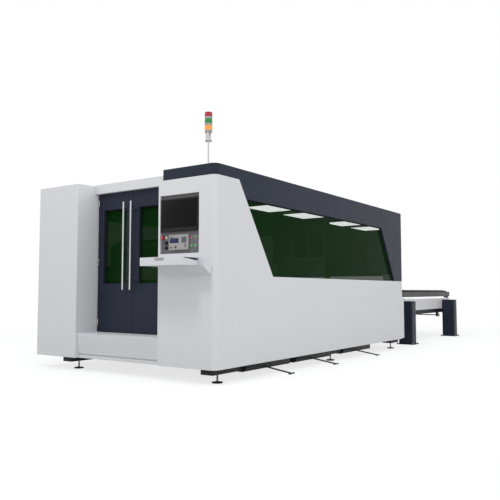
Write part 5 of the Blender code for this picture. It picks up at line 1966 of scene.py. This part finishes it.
@dataclass
class Beacon(SubAssembly):
    """The signal beacon on its mast."""

    centre: Pair = (RIGHT - 0.195, FRONT + 0.12)
    band_levels: Pair = (2.6662, 2.6885)
    band_size: Round = (0.0405, 0.001, 32)
    band_shifts: Pair = (0.073, 0.146)
    screw_radius: float = 0.0195
    screw_level: float = ROOF_TOP + 0.0053
    screw: Head = Head(0.008, 0.004)

    def build(self) -> None:
        """Dresses the beacon's nodes and adds its bands and foot screws."""
        for finish, name in (
            (BRIGHT, "beacon_mast"),
            (AMBER_LENS, "amber_lens"),
            (GREEN_LENS, "green_lens"),
            (RED_LENS, "red_lens"),
        ):
            self.nodes(finish, name, edge=Edge.TURNED)
        band = self.bench.upright("band", self.centre, self.band_levels, *self.band_size)
        shifts = [(0.0, 0.0, step) for step in self.band_shifts]
        self.repeat("beacon_bands", BEACON_GREY, band, shifts)
        places = [(x, y, self.screw_level) for x, y in circle(self.centre, self.screw_radius, 4)]
        self.heads("mast_screws", ZINC, places, UP, self.screw)


@dataclass(frozen=True)
class SoftLamp:
    """A square area lamp: its place, what it points at, its side and its power."""

    name: str
    place: Point
    aim: Point
    size: float
    power: float


@dataclass
class Studio:
    """The floor, the lamps, the world and the camera."""

    lens: float = 44.06
    sensor: float = 36.0
    eye: Point = (5.156, -9.433, 0.965)
    turn_deg: float = 34.8
    rise_deg: float = 3.83
    sight: float = 500.0

    floor_size: float = 400.0
    floor_level: float = -0.001
    floor_roughness: float = 0.9
    floor_grey: float = 0.50
    floor_lift: float = 0.40
    floor_white: float = 0.75
    fade_reach: Pair = (5.0, 9.0)
    sky_colour: Point = (0.96, 0.98, 1.0)
    sky_light: float = 0.80
    white: tuple[float, float, float, float] = (1.0, 1.0, 1.0, 1.0)

    soft_lamps: tuple[SoftLamp, ...] = (
        SoftLamp("overhead", (0.0, -1.0, 7.5), (0.0, 0.0, 0.5), 9.0, 300.0),
        SoftLamp("front_left", (-5.5, -11.0, 4.5), (0.0, -3.5, 1.0), 5.0, 90.0),
        SoftLamp("front_right", (5.0, -12.5, 3.5), (-0.3, -4.2, 1.2), 4.0, 80.0),
        SoftLamp("top_front", (0.9, -7.3, 6.6), (0.6, -4.5, 1.2), 1.2, 140.0),
        SoftLamp("right", (9.5, -3.0, 4.0), (0.5, -1.0, 1.0), 6.0, 230.0),
    )

    def build(self) -> None:
        """Makes the floor, the lights, the world and the camera."""
        self.floor()
        self.world()
        for lamp in self.soft_lamps:
            self.lamp(lamp)
        self.camera()

    def looked_at(self, tree: bpy.types.NodeTree) -> bpy.types.NodeSocket:
        """1 where the camera sees something itself, in gloss or through glass."""
        path = tree.nodes.new("ShaderNodeLightPath")
        seen = path.outputs["Is Camera Ray"]
        for kind in ("Is Glossy Ray", "Is Transmission Ray"):
            seen = Effects.math(tree, "MAXIMUM", seen, path.outputs[kind])
        return seen

    def mix(
        self,
        tree: bpy.types.NodeTree,
        share: bpy.types.NodeSocket,
        plain: bpy.types.Node,
        white: bpy.types.Node,
        output: str,
    ) -> None:
        """Shows a white shader instead of the plain one by a share.

        Args:
            tree: The material's or the world's nodes.
            share: How much of the white shader shows.
            plain: The shader under it.
            white: The white shader.
            output: The name of the output node.
        """
        mix = tree.nodes.new("ShaderNodeMixShader")
        for slot, source in zip(mix.inputs, (share, plain.outputs[0], white.outputs[0])):
            tree.links.new(source, slot)
        tree.links.new(mix.outputs[0], tree.nodes[output].inputs["Surface"])

    def floor(self) -> None:
        """A wide pale floor that turns white towards the horizon."""
        bpy.ops.object.select_all(action="DESELECT")
        bpy.ops.mesh.primitive_plane_add(
            size=self.floor_size, location=(0.0, 0.0, self.floor_level)
        )
        plane = bpy.context.object
        plane.name = "studio_floor"
        made = bpy.data.materials.new("m_studio_floor")
        made.use_nodes = True
        tree = made.node_tree
        shader = tree.nodes["Principled BSDF"]
        shader.inputs["Roughness"].default_value = self.floor_roughness
        looked_at = self.looked_at(tree)
        grey = Effects.math(tree, "MULTIPLY_ADD", looked_at, self.floor_lift, self.floor_grey)
        tree.links.new(grey, shader.inputs["Base Color"])
        white = tree.nodes.new("ShaderNodeEmission")
        white.inputs["Color"].default_value = self.white
        place = tree.nodes.new("ShaderNodeTexCoord")
        length = tree.nodes.new("ShaderNodeVectorMath")
        length.operation = "LENGTH"
        tree.links.new(place.outputs["Object"], length.inputs[0])
        fade = tree.nodes.new("ShaderNodeMapRange")
        near, far = self.fade_reach
        fade.inputs["From Min"].default_value = near
        fade.inputs["From Max"].default_value = far
        fade.inputs["To Min"].default_value = self.floor_white
        tree.links.new(length.outputs["Value"], fade.inputs["Value"])
        seen = Effects.math(tree, "MULTIPLY", fade.outputs[0], looked_at)
        self.mix(tree, seen, shader, white, "Material Output")
        plane.data.materials.append(made)

    def world(self) -> None:
        """Soft light all round, white where the camera and gloss see it."""
        world = bpy.data.worlds.new("studio_world")
        bpy.context.scene.world = world
        world.use_nodes = True
        tree = world.node_tree
        light = tree.nodes["Background"]
        light.inputs["Color"].default_value = (*self.sky_colour, 1.0)
        light.inputs["Strength"].default_value = self.sky_light
        white = tree.nodes.new("ShaderNodeBackground")
        white.inputs["Color"].default_value = self.white
        white.inputs["Strength"].default_value = 1.0
        self.mix(tree, self.looked_at(tree), light, white, "World Output")

    def lamp(self, soft: SoftLamp) -> None:
        """One soft lamp, which shows in no gloss."""
        bpy.ops.object.light_add(type="AREA", location=soft.place)
        lamp = bpy.context.object
        lamp.name = f"lamp_{soft.name}"
        lamp.data.size = soft.size
        lamp.data.energy = soft.power
        lamp.visible_glossy = False
        sight = Vector(soft.aim) - Vector(soft.place)
        lamp.rotation_euler = sight.to_track_quat("-Z", "Y").to_euler()

    def camera(self) -> None:
        """The camera at the photograph's place and angle."""
        level = 90.0
        bpy.ops.object.camera_add(location=self.eye)
        camera = bpy.context.object
        camera.name = "view_camera"
        camera.data.sensor_width = self.sensor
        camera.data.lens = self.lens
        tilt = math.radians(level + self.rise_deg)
        camera.rotation_euler = (tilt, 0.0, math.radians(self.turn_deg))
        camera.data.clip_end = self.sight
        bpy.context.scene.camera = camera
        bpy.context.scene.view_settings.view_transform = "Standard"


def main() -> None:
    """Loads the frame, builds every sub-assembly and the studio, and reports the pieces."""
    logging.basicConfig(level=logging.INFO, format="%(message)s")
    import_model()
    bench, paint = Bench(), PaintShop()
    bench.clear()
    kinds = (Housing, Doors, Console, Underside, CuttingGantry, ExchangeTable, Beacon)
    for kind in kinds:
        assembly = kind(bench, paint)
        assembly.build()
        LOG.info("%s: %d new pieces", kind.__name__, len(assembly.pieces))
    Studio().build()


if __name__ == "__main__":
    main()
